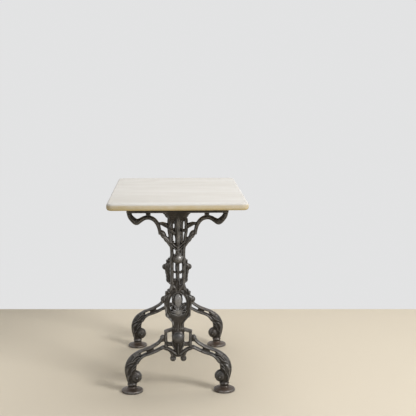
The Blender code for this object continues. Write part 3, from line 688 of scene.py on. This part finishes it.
def add_relief(mesh, voxel):
    """Stores how far each vertex stands out of its surroundings, 0.5 where it is flat.

    It is the distance along the vertex's normal from its surroundings' mean, which is a
    mean of neighbours taken a few times over, and is softened by two further means.
    """
    points = points_of(mesh)
    edges = np.empty(len(mesh.edges) * 2, int)
    mesh.edges.foreach_get("vertices", edges)
    pairs = edges.reshape(-1, 2)
    counts = np.maximum(np.bincount(pairs.ravel(), minlength=len(points)), 1)
    normals = np.empty(len(points) * 3)
    mesh.vertex_normals.foreach_get("vector", normals)
    normals = normals.reshape(-1, 3)
    mean = points
    for _ in range(round(RELIEF_SPREAD / voxel**2)):
        mean = neighbour_mean(mean, pairs, counts)
    out = ((points - mean) * normals).sum(1)[:, None]
    for _ in range(2):
        out = neighbour_mean(out, pairs, counts)
    relief = np.clip(0.5 + out[:, 0] / (RELIEF_RANGE * MM), 0, 1)
    # The iron paints highlights on the ridges and shade in the hollows from this value.
    layer = mesh.attributes.new("relief", "FLOAT", "POINT")
    layer.data.foreach_set("value", relief.astype(np.float32))


def add_painted_highlights(mesh):
    """Stores the painted highlights on the outer face: soft ellipses, each a bell curve."""
    points = points_of(mesh)
    outer = np.clip((-points[:, 1] / MM - 5.0) / 4.0, 0, 1)
    total = np.zeros(len(points))
    for x, z, half_width, half_height, share in PAINTED_HIGHLIGHTS:
        away = ((points[:, 0] / MM - x) / half_width) ** 2
        away += ((points[:, 2] / MM - z) / half_height) ** 2
        total = np.maximum(total, share * np.exp(-(away**1.5)))
    layer = mesh.attributes.new("painted_highlight", "FLOAT", "POINT")
    layer.data.foreach_set("value", (total * outer).astype(np.float32))


def turned_about(mesh, name):
    """A copy of a front piece's mesh, turned half a turn, for the back frame."""
    copy = mesh.copy()
    copy.name = name
    set_points(copy, points_of(mesh) * (-1.0, -1.0, 1.0))
    return copy


# ---------------------------------------------------------------- the lower casting

# A member's knots are (x, z, width, depth) on its middle line, and a side of 1 or -1
# stands it right or left of the frame's middle.


def leg(side):
    """A leg: two moulded rails and their web, the leafed scroll, its volute and foot."""
    upper = (
        (57.0, 210.0, 14.0, 22.0),
        (62.3, 198.2, 13.5, 22.5),
        (71.3, 187.0, 12.6, 23.0),
        (86.6, 176.4, 12.4, 24.0),
        (104.0, 167.0, 12.6, 25.0),
        (127.0, 158.6, 10.6, 26.0),
        (144.0, 151.5, 12.0, 28.0),
        (160.0, 138.0, 18.0, 30.0),
    )
    lower = (
        (43.0, 166.0, 13.0, 22.0),
        (55.6, 168.0, 14.0, 22.5),
        (66.0, 163.4, 12.6, 23.0),
        (82.2, 155.0, 12.6, 24.0),
        (102.0, 147.0, 12.6, 25.0),
        (123.4, 139.6, 12.4, 26.0),
        (138.0, 130.2, 13.0, 28.0),
        (153.0, 114.0, 18.0, 30.0),
    )
    web = ((104.0, 168.0, 27.0, 18.0), (103.5, 146.0, 27.0, 18.0))
    scroll = (
        (154.0, 136.5, 30.0, 28.0),
        (162.5, 124.3, 38.5, 32.0),
        (172.0, 108.3, 41.5, 33.0),
        (176.5, 90.4, 43.5, 33.0),
        (176.6, 72.5, 41.5, 32.0),
        (174.0, 52.0, 37.0, 30.0),
        (170.2, 31.5, 31.0, 29.0),
    )
    flutes = (
        ((138, 144, 5, 28), (152, 141, 8, 33), (166, 128, 9, 36), (178, 111, 5, 33)),
        ((141, 135, 5, 28), (153, 130, 8, 33), (164, 119, 9, 36), (171, 105, 4, 33)),
    )
    lobes = (
        ((156, 121, 5, 32), (167, 118, 9, 37), (178, 113, 9, 37), (188, 106, 4, 33)),
        ((166, 106, 8, 33), (178, 101, 19, 38), (187, 86, 18, 38), (187, 62, 8, 33)),
        ((152, 109, 4, 31), (161, 104, 9, 37), (169, 95, 9, 37), (174, 82, 4, 33)),
        ((158, 94, 4, 31), (166, 89, 8, 37), (173, 79, 8, 37), (176, 66, 4, 33)),
        ((178, 74, 6, 32), (184, 60, 12, 36), (184, 48, 10, 34), (181, 36, 4, 30)),
    )
    foot = (
        (37.6, 0.0),
        (39.4, 0.8),
        (40.3, 3.4),
        (40.1, 6.6),
        (38.6, 9.2),
        (35.0, 11.1),
        (32.6, 11.5),
        (31.4, 12.4),
        (27.0, 13.0),
        (20.4, 14.9),
        (17.0, 17.8),
        (15.8, 21.0),
        (15.8, 24.8),
        (17.8, 26.4),
        (18.6, 28.4),
        (17.8, 30.6),
        (15.6, 35.0),
    )
    joint = ((57.5, 195.0, 14.0, 22.0), (57.5, 209.0, 13.5, 23.0))
    eye = (158.4, 57.0)
    made = [
        bar(upper, side, bead=0.12),
        bar(lower, side, bead=0.12),
        bar(web, side, power=5.0, ends=0.0),
        bar(scroll, side, power=2.3, sides=36),
    ]
    made += [leaf(flute, side, rise=0.05) for flute in flutes]
    made += [leaf(lobe, side, rise=0.10) for lobe in lobes]
    made += [
        ball(*eye, 24.0, 19.0, side),
        volute(*eye, 20.0, 18.4, side, turns=1.15, start=70.0),
        ball(153.0, 55.0, 7.0, 21.5, side),
        bar(joint, side, power=3.2),
        ball(58.8, 205.5, 8.8, 12.6, side),
        turned(foot, side * FOOT_X, 0.0),
    ]
    return made


def bracket(side):
    """The square bracket, the hook that ties it to the leg, and half of the pendant."""
    top = (
        (12.0, 238.6, 13.0, 22.0),
        (30.0, 233.6, 12.0, 22.0),
        (50.4, 227.2, 11.4, 22.0),
    )
    upright = (
        (45.5, 230.0, 11.4, 22.0),
        (45.5, 208.0, 11.4, 22.0),
        (45.4, 194.0, 12.0, 22.0),
        (44.5, 184.0, 13.0, 22.0),
        (44.5, 174.0, 14.0, 22.0),
        (47.5, 163.0, 11.0, 21.0),
    )
    bottom = (
        (45.0, 187.0, 11.0, 20.0),
        (35.0, 180.6, 14.0, 20.5),
        (22.0, 180.6, 15.0, 20.5),
        (10.0, 184.0, 15.0, 20.0),
    )
    pendant = (
        (48.5, 164.0, 12.0, 18.0),
        (35.0, 160.4, 14.0, 19.0),
        (23.6, 150.0, 16.0, 20.0),
        (19.0, 131.0, 12.6, 19.0),
    )
    rib = (
        (42.0, 166.0, 6.0, 22.0),
        (24.0, 157.0, 8.0, 26.0),
        (11.0, 146.0, 9.0, 26.0),
        (-3.0, 138.0, 9.0, 24.0),
    )
    curl = (
        (21.5, 188.0, 6.0, 25.0),
        (19.5, 176.0, 7.0, 29.0),
        (14.0, 166.0, 7.0, 30.0),
        (10.0, 158.0, 4.0, 27.0),
    )
    tie = ((46.0, 207.0, 13.0, 19.0), (58.0, 204.0, 13.0, 19.0))
    bridge = ((0.0, 136.6, 9.0, 22.0), (14.0, 138.0, 9.0, 21.0))
    drop = (19.3, 125.6)
    return [
        bar(top, side, power=4.5, bead=0.06, ends=0.15),
        bar(upright, side, power=4.0, bead=0.06),
        bar(bottom, side, bead=0.10),
        bar(pendant, side, power=3.4, bead=0.06, ends=0.3),
        bar(rib, side, power=2.1),
        bar(curl, side, power=2.1),
        bar(tie, side, power=3.0),
        ball(*drop, 11.6, 11.6, side),
        ball(*drop, 4.6, 13.4, side),
        bar(bridge, side, power=3.0),
    ]


def boss_body():
    """The upright member behind the boss, its hood and round seat, and the drop below."""
    body = (
        (133.0, 9.0, 8.0),
        (140.0, 12.0, 9.5),
        (150.0, 15.0, 11.0),
        (169.0, 17.5, 12.0),
        (180.0, 20.0, 13.0),
        (190.0, 22.5, 13.5),
        (215.0, 23.0, 13.8),
        (228.0, 23.3, 14.0),
        (236.0, 24.0, 14.2),
        (245.0, 22.5, 14.2),
    )
    seat = both_faces(((19.6, -BOSS_HALF_DEPTH), (20.5, 1.0 - BOSS_HALF_DEPTH)))
    radius, width, depth = 21.4, 4.2, 31.0
    turn = np.radians(np.linspace(-24, 204, 17))
    hood = np.c_[radius * np.cos(turn), BOSS_Z + radius * np.sin(turn)]
    hood = np.c_[hood, np.full(17, width), np.full(17, depth)]
    drop = ((0, 184, 12, 28), (0, 169, 17, 31), (0, 154, 13, 29), (0, 141, 5, 24))
    made = [pillar(body, power=3.4), turned(seat, 0.0, BOSS_Z, along="Y")]
    return made + [bar(hood, power=2.1, sides=16, steps=2), leaf(drop)]


# ---------------------------------------------------------------- the urn casting


def urn_half(side):
    """Half of the urn: its moulded rim, leaf edge, ear, square shoulder and inner curl."""
    rim = (
        (6.0, 385.0, 15.0, 22.0),
        (19.0, 378.5, 17.0, 23.0),
        (29.4, 367.4, 16.4, 24.0),
        (35.6, 353.0, 15.8, 25.0),
        (37.6, 338.0, 15.6, 25.0),
        (37.6, 322.0, 15.6, 25.0),
        (36.4, 308.0, 17.0, 25.0),
        (32.6, 295.0, 20.6, 24.0),
        (25.0, 283.0, 20.0, 24.0),
        (16.0, 272.0, 16.0, 24.0),
    )
    inner = (
        (0.0, 377.5, 4.6, 27.0),
        (11.0, 373.8, 4.4, 28.0),
        (22.0, 364.8, 4.4, 29.0),
        (29.4, 351.6, 4.4, 30.0),
        (31.8, 336.0, 4.4, 30.0),
        (31.2, 320.6, 4.4, 30.0),
        (27.2, 305.6, 4.4, 30.0),
        (17.0, 295.0, 4.8, 30.0),
        (0.0, 289.0, 4.8, 30.0),
    )
    edge = (
        (40.5, 366.0, 4.0, 24.0),
        (43.5, 345.0, 5.0, 28.0),
        (43.6, 322.0, 5.0, 28.0),
        (42.0, 302.0, 5.5, 29.0),
        (36.5, 287.0, 6.0, 31.0),
        (27.0, 275.0, 6.5, 32.0),
        (18.0, 262.0, 5.0, 31.0),
        (14.0, 248.0, 4.0, 30.0),
    )
    ear = (
        (38.0, 329.0, 13.0, 20.0),
        (47.0, 340.0, 13.5, 22.0),
        (47.5, 355.0, 14.0, 22.0),
        (38.5, 364.0, 13.0, 20.0),
    )
    shoulder = (
        (26.0, 375.4, 16.0, 22.0),
        (36.0, 374.2, 15.0, 21.0),
        (45.4, 372.6, 13.4, 20.0),
    )
    crown = (
        (31.5, 378.0, 13.0, 21.0),
        (24.0, 391.0, 14.0, 22.0),
        (18.5, 414.0, 11.5, 22.0),
    )
    arch = ((24.0, 369.0, 4.0, 24.0), (15.0, 382.0, 5.0, 29.0), (3.0, 396.0, 4.0, 26.0))
    leaflets = (
        ((31, 280, 4, 22), (38, 285, 9, 26), (43, 291, 8, 25), (45, 299, 3, 20)),
        ((36, 292, 4, 22), (41, 300, 9, 27), (44, 309, 8, 26), (45.5, 318, 3, 20)),
        ((38, 310, 4, 22), (43, 318, 10, 27), (46.5, 327, 9, 26), (49, 336, 4, 21)),
        ((30, 376, 4, 22), (35, 380, 8, 25), (37, 384, 6, 22), (35, 388, 3, 18)),
    )
    curl = (
        (32.0, 328.0, 7.0, 15.0),
        (26.0, 333.0, 8.5, 17.0),
        (19.0, 329.0, 8.5, 17.0),
        (15.5, 320.0, 6.0, 14.0),
    )
    eye = (50.8, 349.6)
    made = [
        bar(rim, side, steps=4),
        bar(inner, side, power=2.0, steps=5, sides=16),
        bar(edge, side, power=2.0, sides=16),
        bar(ear, side, bead=0.10),
        bar(shoulder, side, power=5.0, ends=0.15),
        bar(crown, side, bead=0.08),
        bar(arch, side, power=2.0, sides=16),
        bar(curl, side, power=2.0),
        ball(*eye, 12.8, 11.4, side),
        volute(*eye, 10.4, 12.2, side, turns=1.2, start=150.0),
        ball(*eye, 4.0, 14.4, side),
    ]
    return made + [leaf(lobe, side, rise=0.12) for lobe in leaflets]


def urn_middle(bud_half_width):
    """The fluted neck, the bowl and the bud that stands in it."""
    neck = (
        (234.0, 25.0, 15.0),
        (240.0, 24.2, 15.2),
        (246.0, 22.2, 15.0),
        (256.0, 22.0, 15.2),
        (264.0, 24.0, 15.2),
    )
    bowl = (
        (257.0, 21.5, 14.0),
        (263.0, 23.5, 14.5),
        (270.0, 29.0, 14.5),
        (277.0, 35.5, 14.0),
        (283.5, 41.0, 13.5),
        (288.0, 44.0, 13.0),
        (297.0, 44.4, 11.5),
    )
    shape = (
        (400.0, 0.36, 8.0),
        (376.0, 0.40, 8.0),
        (367.0, 0.66, 10.0),
        (358.0, 0.92, 12.5),
        (348.0, 1.00, 14.0),
        (337.0, 0.90, 13.5),
        (325.0, 0.74, 12.5),
        (314.0, 0.70, 12.0),
        (290.0, 0.60, 9.0),
    )
    bud = tuple((z, bud_half_width * share, deep) for z, share, deep in shape)
    return [
        pillar(neck, flutes=6, flute_depth=0.12),
        pillar(bowl),
        pillar(bud, power=2.0, flutes=6, flute_depth=0.10),
    ]


def urn_shell():
    """The cup-shaped shell round the foot of the front bud, and its fanned leaves."""
    cup = (
        (292.5, 5.0, 12.0),
        (294.5, 12.0, 14.5),
        (299.0, 17.6, 16.0),
        (305.0, 21.6, 16.5),
        (311.0, 23.6, 16.0),
        (315.5, 22.4, 14.5),
        (318.0, 18.0, 12.0),
    )
    made = [pillar(cup, power=2.2, sides=72, flutes=8, flute_depth=0.16)]
    for degrees in (16, 38, 64, 116, 142, 164):
        x, z = math.cos(math.radians(degrees)), math.sin(math.radians(degrees))
        knots = [
            (x * reach, 300 + z * reach, width, deep)
            for reach, width, deep in ((10, 3, 28), (20, 6, 34), (27, 6, 33), (33, 3, 26))
        ]
        made.append(leaf(knots, rise=0.08))
    return made


# ---------------------------------------------------------------- the upper casting


def column_half(side):
    """Half of the slender column: its moulded rail, side bar, leaves and ribbed foot."""
    rail = (
        (6.3, 388.0, 13.0, 22.0),
        (18.0, 403.5, 13.0, 22.0),
        (21.0, 423.0, 13.0, 22.0),
        (21.2, 480.0, 13.0, 22.0),
        (21.8, 536.0, 13.0, 22.0),
        (27.0, 556.5, 14.0, 22.0),
        (37.0, 571.0, 15.0, 22.0),
        (48.0, 583.5, 15.0, 22.0),
        (60.0, 601.0, 12.5, 22.0),
    )
    side_bar = (
        (26.0, 563.0, 13.0, 20.0),
        (28.0, 586.0, 12.0, 20.0),
        (31.5, 606.0, 11.5, 20.0),
        (30.2, 623.0, 10.5, 20.0),
        (28.8, 640.0, 10.0, 20.0),
        (28.5, 660.0, 10.0, 20.0),
    )
    ribs = (
        ((4.6, 384.0, 4.0, 24.0), (4.4, 404.0, 4.2, 27.0), (3.6, 428.0, 3.0, 22.0)),
        ((16.5, 392.0, 4.0, 24.0), (18.5, 408.0, 4.6, 26.0), (19.5, 427.0, 3.0, 23.0)),
    )
    lobes = (
        ((0, 541, 4, 20), (9, 549, 9, 24), (19, 559, 10, 24), (29, 572, 3, 21)),
        ((0, 590, 4, 18), (9, 597, 10, 22), (20, 605, 10, 22), (33, 614, 3, 20)),
        ((13, 566, 3, 20), (21, 561, 8, 24), (31, 566, 9, 24), (42, 577, 3, 21)),
        ((14, 613, 3, 18), (21, 605, 8, 23), (31, 607, 8, 23), (38, 616, 3, 20)),
        ((1, 449, 4, 20), (7, 450, 7, 23), (14, 452, 7, 23), (22, 449, 4, 20)),
        ((1, 531, 4, 20), (7, 536, 8, 23), (14, 543, 8, 23), (22, 552, 4, 20)),
        ((28, 655, 3, 20), (33, 648, 7, 22), (34, 637, 7, 22), (31, 628, 3, 20)),
    )
    made = [bar(rail, side, bead=0.12), bar(side_bar, side, bead=0.12)]
    made += [bar(rib, side, power=2.0, sides=16) for rib in ribs]
    return made + [leaf(lobe, side, rise=0.14) for lobe in lobes]


def column_middle():
    """The stem with its leaves, the web of its foot, the domed rosette and the capital.

    The web is higher on one side than on the other.
    """
    stem = (
        (391.0, 7.0, 10.0),
        (423.0, 6.2, 10.0),
        (536.0, 6.5, 10.0),
        (550.0, 9.5, 12.0),
        (573.0, 9.5, 12.0),
        (595.0, 12.5, 12.5),
        (631.0, 12.0, 12.0),
        (660.0, 14.0, 11.0),
    )
    web = (
        (384.0, 19.0, 8.0),
        (392.0, 20.0, 8.6),
        (399.0, 20.0, 8.6),
        (404.0, 17.0, 8.0),
    )
    high_web = ((-11.0, 396.0, 12.0, 17.0), (-11.0, 423.0, 12.0, 17.0))
    capital = (
        (641.0, 27.5, 8.0),
        (646.0, 31.0, 10.0),
        (652.0, 33.0, 12.0),
        (656.5, 33.2, 12.4),
        (657.6, 35.0, 13.6),
        (661.6, 35.6, 14.2),
        (662.6, 37.2, 15.0),
        (666.4, 38.0, 15.4),
        (667.4, 43.0, 16.2),
        (673.0, 44.6, 16.6),
    )
    rosette = ((13.0, -16.4), (17.0, -15.4), (18.6, -13.0))
    knob = ((1.5, -26.4), (7.0, -25.4), (12.0, -22.4), (15.8, -16.0))
    made = [
        pillar(stem, power=2.3, steps=6),
        pillar(web, power=4.0),
        bar(high_web, power=4.0, ends=0.3),
        pillar(capital, power=4.5, steps=3),
        turned(both_faces(rosette), 0.0, ROSETTE_Z, along="Y", steps=3),
        turned(both_faces(knob), 0.0, ROSETTE_Z, along="Y", steps=3),
    ]
    for height, flare in ((559.0, 1.0), (603.0, 1.1), (640.0, 0.9)):
        knots = (
            (0, height - 20 * flare, 4, 20),
            (0, height - 8 * flare, 11 * flare, 26),
            (0, height + 6 * flare, 10 * flare, 26),
            (0, height + 18 * flare, 3, 20),
        )
        made.append(leaf(knots, rise=0.14))
    return made


def arm(side):
    """An arm: the S-shaped bar, its leafed point, the screw post and the tendril."""
    sweep = (
        (175.0, 675.2, 18.5, 22.0),
        (171.5, 659.0, 18.5, 22.0),
        (161.8, 646.8, 21.0, 22.0),
        (148.9, 637.4, 23.0, 22.0),
        (136.0, 642.4, 18.0, 22.0),
        (122.0, 650.6, 15.8, 22.0),
        (106.0, 653.6, 15.8, 22.0),
        (89.0, 648.2, 15.0, 22.0),
        (77.0, 636.5, 14.6, 22.0),
        (69.0, 621.0, 14.0, 22.0),
        (65.0, 605.0, 13.4, 22.0),
        (63.6, 592.5, 12.0, 22.0),
    )
    point = ((150, 645, 15, 22), (148.5, 637, 16, 23), (148, 630.5, 13, 20), (148, 628, 8, 14))
    leaves = (
        ((177, 666, 4, 22), (169, 652, 11, 25), (158, 642, 11, 25), (148, 632, 4, 20)),
        ((120, 651, 4, 22), (132, 645, 10, 25), (141, 637, 10, 25), (148, 630, 4, 20)),
        ((72, 633, 4, 21), (66, 618, 9, 25), (63, 605, 9, 24), (62, 594, 4, 18)),
    )
    tendril = (
        (30.0, 617.0, 14.0, 16.0),
        (39.5, 623.6, 17.0, 18.0),
        (48.0, 627.6, 16.0, 19.0),
        (57.0, 630.6, 12.0, 19.0),
        (69.0, 631.0, 8.5, 18.0),
    )
    tendril_rib = (
        (36.0, 624.0, 3.0, 18.0),
        (45.0, 631.0, 5.0, 23.0),
        (55.0, 634.5, 5.0, 23.0),
        (64.0, 633.0, 3.0, 18.0),
    )
    barbs = (
        ((64, 602, 8, 19), (56, 599, 15, 24), (49, 591, 15, 24), (42, 582, 6, 19)),
        ((60, 590, 4, 19), (53, 586, 12, 25), (46, 579, 12, 25), (39, 570, 5, 19)),
        ((51, 580, 4, 19), (44, 574, 12, 25), (38, 566, 12, 25), (31, 555, 4, 19)),
        ((43, 570, 4, 19), (36, 563, 10, 25), (31, 555, 10, 25), (26, 543, 4, 19)),
    )
    tips = (
        ((62, 595, 8, 20), (57.5, 586, 8, 21), (55, 578, 3, 18)),
        ((51, 584, 8, 20), (47, 573, 8, 21), (44.5, 565, 3, 18)),
        ((41, 573, 8, 20), (37, 562, 8, 21), (34.5, 554, 3, 18)),
    )
    post = ((106.0, 650.0, 18.0, 20.0), (106.0, 662.0, 17.0, 20.0), (106.0, 674.0, 19.0, 20.0))
    made = [
        bar(sweep, side, bead=0.12, ends=0.3),
        leaf(point, side, rise=0.10),
        bar(tendril, side, power=2.4),
        bar(tendril_rib, side, power=2.0, sides=16),
        bar(post, side, power=4.0, ends=0.0),
    ]
    return made + [leaf(lobe, side, rise=0.08) for lobe in leaves + barbs + tips]


def flange():
    """The flat flange that carries the slab: a rectangle lifted through its thickness.

    The rectangle is drawn in near its underside and its top, which eases the edges.
    """
    rise = np.array([0.0, 0.8, 2.0])
    inset = np.array([1.6, 0.4, 0.0])
    rise = np.concatenate([rise, FLANGE_THICKNESS - rise[::-1]])[:, None, None]
    inset = np.concatenate([inset, inset[::-1]])[:, None, None]
    ring = np.array([(-1, -1), (1, -1), (1, 1), (-1, 1)], float)
    plan = ring * (np.array(FLANGE_HALF) - inset)
    height = FLANGE_Z + rise + 0 * plan[:, :, :1]
    return [closed_grid(np.concatenate([plan, height], axis=-1))]


# ---------------------------------------------------------------- assembling the frames


def add_casting(part, members, voxel, iron, places=("front", "back")):
    """One skin of the castings, placed in both frames or in those that are named."""
    mesh = melted(part, members, voxel)
    points = points_of(mesh)
    points[:, 2] = np.clip(points[:, 2], 0.0, FLANGE_Z + FLANGE_THICKNESS)
    set_points(mesh, points * MM)
    add_relief(mesh, voxel)
    add_painted_highlights(mesh)
    for place in places:
        name = f"{place}_{part}"
        way = 1.0 if place == "front" else -1.0
        copy = mesh.copy()
        copy.name = name
        set_points(copy, points_of(mesh) * (way, way, 1.0) + (0.0, -way * FRAME_Y, 0.0))
        piece(name, copy, iron, "cast_iron", place + "_end_frame")
    bpy.data.meshes.remove(mesh)


def build_castings(iron):
    """The skins of the two frames, which differ only in the bud and shell of the urn."""
    legs, rims, arms = boss_body(), [], column_middle() + flange()
    for side in (1, -1):
        legs += leg(side) + bracket(side)
        rims += urn_half(side)
        arms += column_half(side) + arm(side)
    front_urn = rims + urn_middle(FRONT_BUD) + urn_shell()
    back_urn = rims + urn_middle(BACK_BUD)
    add_casting("legs", legs, LEGS_VOXEL, iron)
    add_casting("arms", arms, ARMS_VOXEL, iron)
    add_casting("urn", front_urn, URN_VOXEL, iron, ("front",))
    add_casting("urn", back_urn, URN_VOXEL, iron, ("back",))


def marble_slab():
    """The slab: a rounded rectangle carried through the profile of its rounded edge.

    The plan is a rectangle with quarter-circle corners. From the middle of the top the
    outline grows to the rim, follows a soft bullnose down, and shrinks again below.
    """
    half = (SLAB_HIGH - SLAB_LOW)[:2] / 2
    half_height = (SLAB_HIGH[2] - SLAB_LOW[2]) / 2
    angle = np.linspace(0, math.pi / 2, 13)
    signs = np.array([(1, 1), (-1, 1), (-1, -1), (1, -1)])
    centres = np.repeat(signs * (half - SLAB_CORNER), len(angle), axis=0)
    turns = (angle + math.pi / 2 * np.arange(4)[:, None]).ravel()
    away = np.stack([np.cos(turns), np.sin(turns)], axis=-1)
    lean = np.radians(np.linspace(90, -90, 33))
    power = 2 / 2.5
    reach = SLAB_EDGE * (np.cos(lean) ** power - 1)
    drop = np.sign(np.sin(lean)) * np.abs(np.sin(lean)) ** power * half_height
    edge = centres[None] + away[None] * (SLAB_CORNER + reach)[:, None, None]
    shares = np.array([0.02, 0.2, 0.4, 0.6, 0.8, 0.93, 0.985])[:, None, None]
    plan = np.concatenate([edge[:1] * shares, edge, edge[-1:] * shares[::-1]])
    flat = np.full(len(shares), half_height)
    level = np.concatenate([flat, drop, -flat]) + (SLAB_HIGH[2] + SLAB_LOW[2]) / 2
    height = np.broadcast_to(level[:, None, None], plan.shape[:2] + (1,))
    rings = np.concatenate([plan, height], axis=-1)[::-1]
    return mesh_from("marble_slab", [closed_grid(rings)])


def stretcher_bar():
    """The round bar between the frames, with its collars, shoulders and spigots.

    Half of its profile is mirrored, and the whole is turned about the bar's axis.
    """
    shoulder = FRAME_Y / MM - BOSS_HALF_DEPTH - SEAT_GAP
    tip = NUT_SEAT + SPIGOT_REACH
    half = (
        (10.0, 0.0),
        (10.0, 224.0),
        (10.6, 226.0),
        (12.6, 228.0),
        (13.0, 231.0),
        (12.6, 234.0),
        (10.6, 236.0),
        (10.2, 240.0),
        (10.2, 259.0),
        (11.5, 260.5),
        (13.6, 261.5),
        (14.0, 263.0),
        (14.0, shoulder),
        (SPIGOT_RADIUS, shoulder),
        (SPIGOT_RADIUS, tip - 1.1),
        (SPIGOT_RADIUS - 1.0, tip),
    )
    profile = [(r, -h) for r, h in reversed(half[1:])] + list(half)
    return mesh_from("stretcher", [turned(profile, 0.0, BOSS_Z, 48, along="Y")], MM)


def washer(ease=0.5):
    """A washer: its section, a rectangle with eased outer corners, carried round a circle."""
    low, high = WASHER_SEAT, WASHER_SEAT + WASHER_THICKNESS
    inner, outer = BORE_RADIUS, WASHER_RADIUS
    section = np.array(
        [
            (inner, low),
            (outer - ease, low),
            (outer, low + ease),
            (outer, high - ease),
            (outer - ease, high),
            (inner, high),
        ]
    )
    turn = (math.tau * np.arange(64) / 64)[:, None]
    across = section[:, 0] * np.cos(turn)
    along = -section[:, 1] + 0 * turn
    up = BOSS_Z + section[:, 0] * np.sin(turn)
    rings = np.stack([across, along, up], axis=-1)
    rows = len(rings)
    quads = grid_quads(rows + 1, len(section)) % (rows * len(section))
    ring = (rings.reshape(-1, 3), quads, np.empty((0, 3), int))
    return mesh_from("washer", [ring], MM)


def domed_nut():
    """The cap nut: a short barrel under an elliptic dome, hollow where the spigot goes."""
    barrel = [(18.4, 0.0), (19.4, 0.4), (NUT_RADIUS, 2.0), (NUT_RADIUS, NUT_BARREL)]
    angle = np.radians(np.linspace(8, 86, 14))
    dome = np.c_[NUT_RADIUS * np.cos(angle), NUT_BARREL + NUT_DOME * np.sin(angle)]
    floor = SPIGOT_REACH + 1.0
    bore = [(0.6, floor), (5.0, floor), (BORE_RADIUS, floor - 1.0), (BORE_RADIUS, 0.0)]
    path = np.vstack([bore, barrel, dome])
    turn = (math.tau * np.arange(64) / 64)[None]
    across = path[:, :1] * np.cos(turn)
    along = -(NUT_SEAT + path[:, 1:] + 0 * turn)
    up = BOSS_Z + path[:, :1] * np.sin(turn)
    return mesh_from("cap_nut", [closed_grid(np.stack([across, along, up], axis=-1))], MM)


def build_hardware(iron, nut_iron):
    """The stretcher with its washers and domed nuts."""
    stretcher = stretcher_bar()
    outward(stretcher)
    piece("stretcher", stretcher, iron, "iron_hardware", "stretcher_bar")
    for source, name, node, surface in (
        (washer(), "washer", "stretcher_washer", iron),
        (domed_nut(), "domed_nut", "cap_nut", nut_iron),
    ):
        outward(source)
        back = turned_about(source, name)
        piece("front_" + name, source, surface, "iron_hardware", "front_" + node)
        piece("back_" + name, back, surface, "iron_hardware", "back_" + node)


def build_stage():
    """The plain floor and wall, the lamps and the even light round the table."""
    far = ROOM_REACH
    floor_mesh = mesh_from("floor", [box((-far, -far, -0.02), (far, far, 0.0))])
    floor = bpy.data.objects.new("floor", floor_mesh)
    paint = bpy.data.materials.new("plain floor")
    paint.use_nodes = True
    shader = paint.node_tree.nodes["Principled BSDF"]
    shader.inputs["Base Color"].default_value = FLOOR_COLOUR
    shader.inputs["Roughness"].default_value = 0.8
    floor_mesh.materials.append(paint)
    wall_mesh = bpy.data.meshes.new("wall")
    corners = [(-far, 0, -0.5), (far, 0, -0.5), (far, 0, WALL_HEIGHT), (-far, 0, WALL_HEIGHT)]
    wall_mesh.from_pydata(corners, [], [(0, 1, 2, 3)])
    wall = bpy.data.objects.new("wall", wall_mesh)
    wall.location = (0.0, WALL_Y, 0.0)
    wall.rotation_euler = (0.0, 0.0, math.radians(WALL_TURN))
    wall_mesh.materials.append(plain_wall())
    for thing in (floor, wall):
        bpy.context.scene.collection.objects.link(thing)
    for lamp in LAMPS:
        area_lamp(*lamp)
    bpy.context.scene.world = even_light()
    bpy.context.scene.view_settings.view_transform = "Standard"


def build():
    """The whole table. The rails, screws and pads keep their CAD meshes."""
    set_camera()
    build_stage()
    plain_iron = cast_iron("aged wrought iron", wear_and_painted_light=False)
    build_castings(cast_iron("aged cast iron"))
    slab = marble_slab()
    outward(slab)
    piece("marble_slab", slab, old_marble(), "marble", "marble_top")
    build_hardware(plain_iron, rubbed_and_highlit_iron())
    felt = pressed_felt()
    for node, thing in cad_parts.items():
        if thing.hide_render:  # a finished piece stands for it
            continue
        thing.data.materials.clear()
        thing.data.materials.append(felt if "pad" in node else plain_iron)


build()
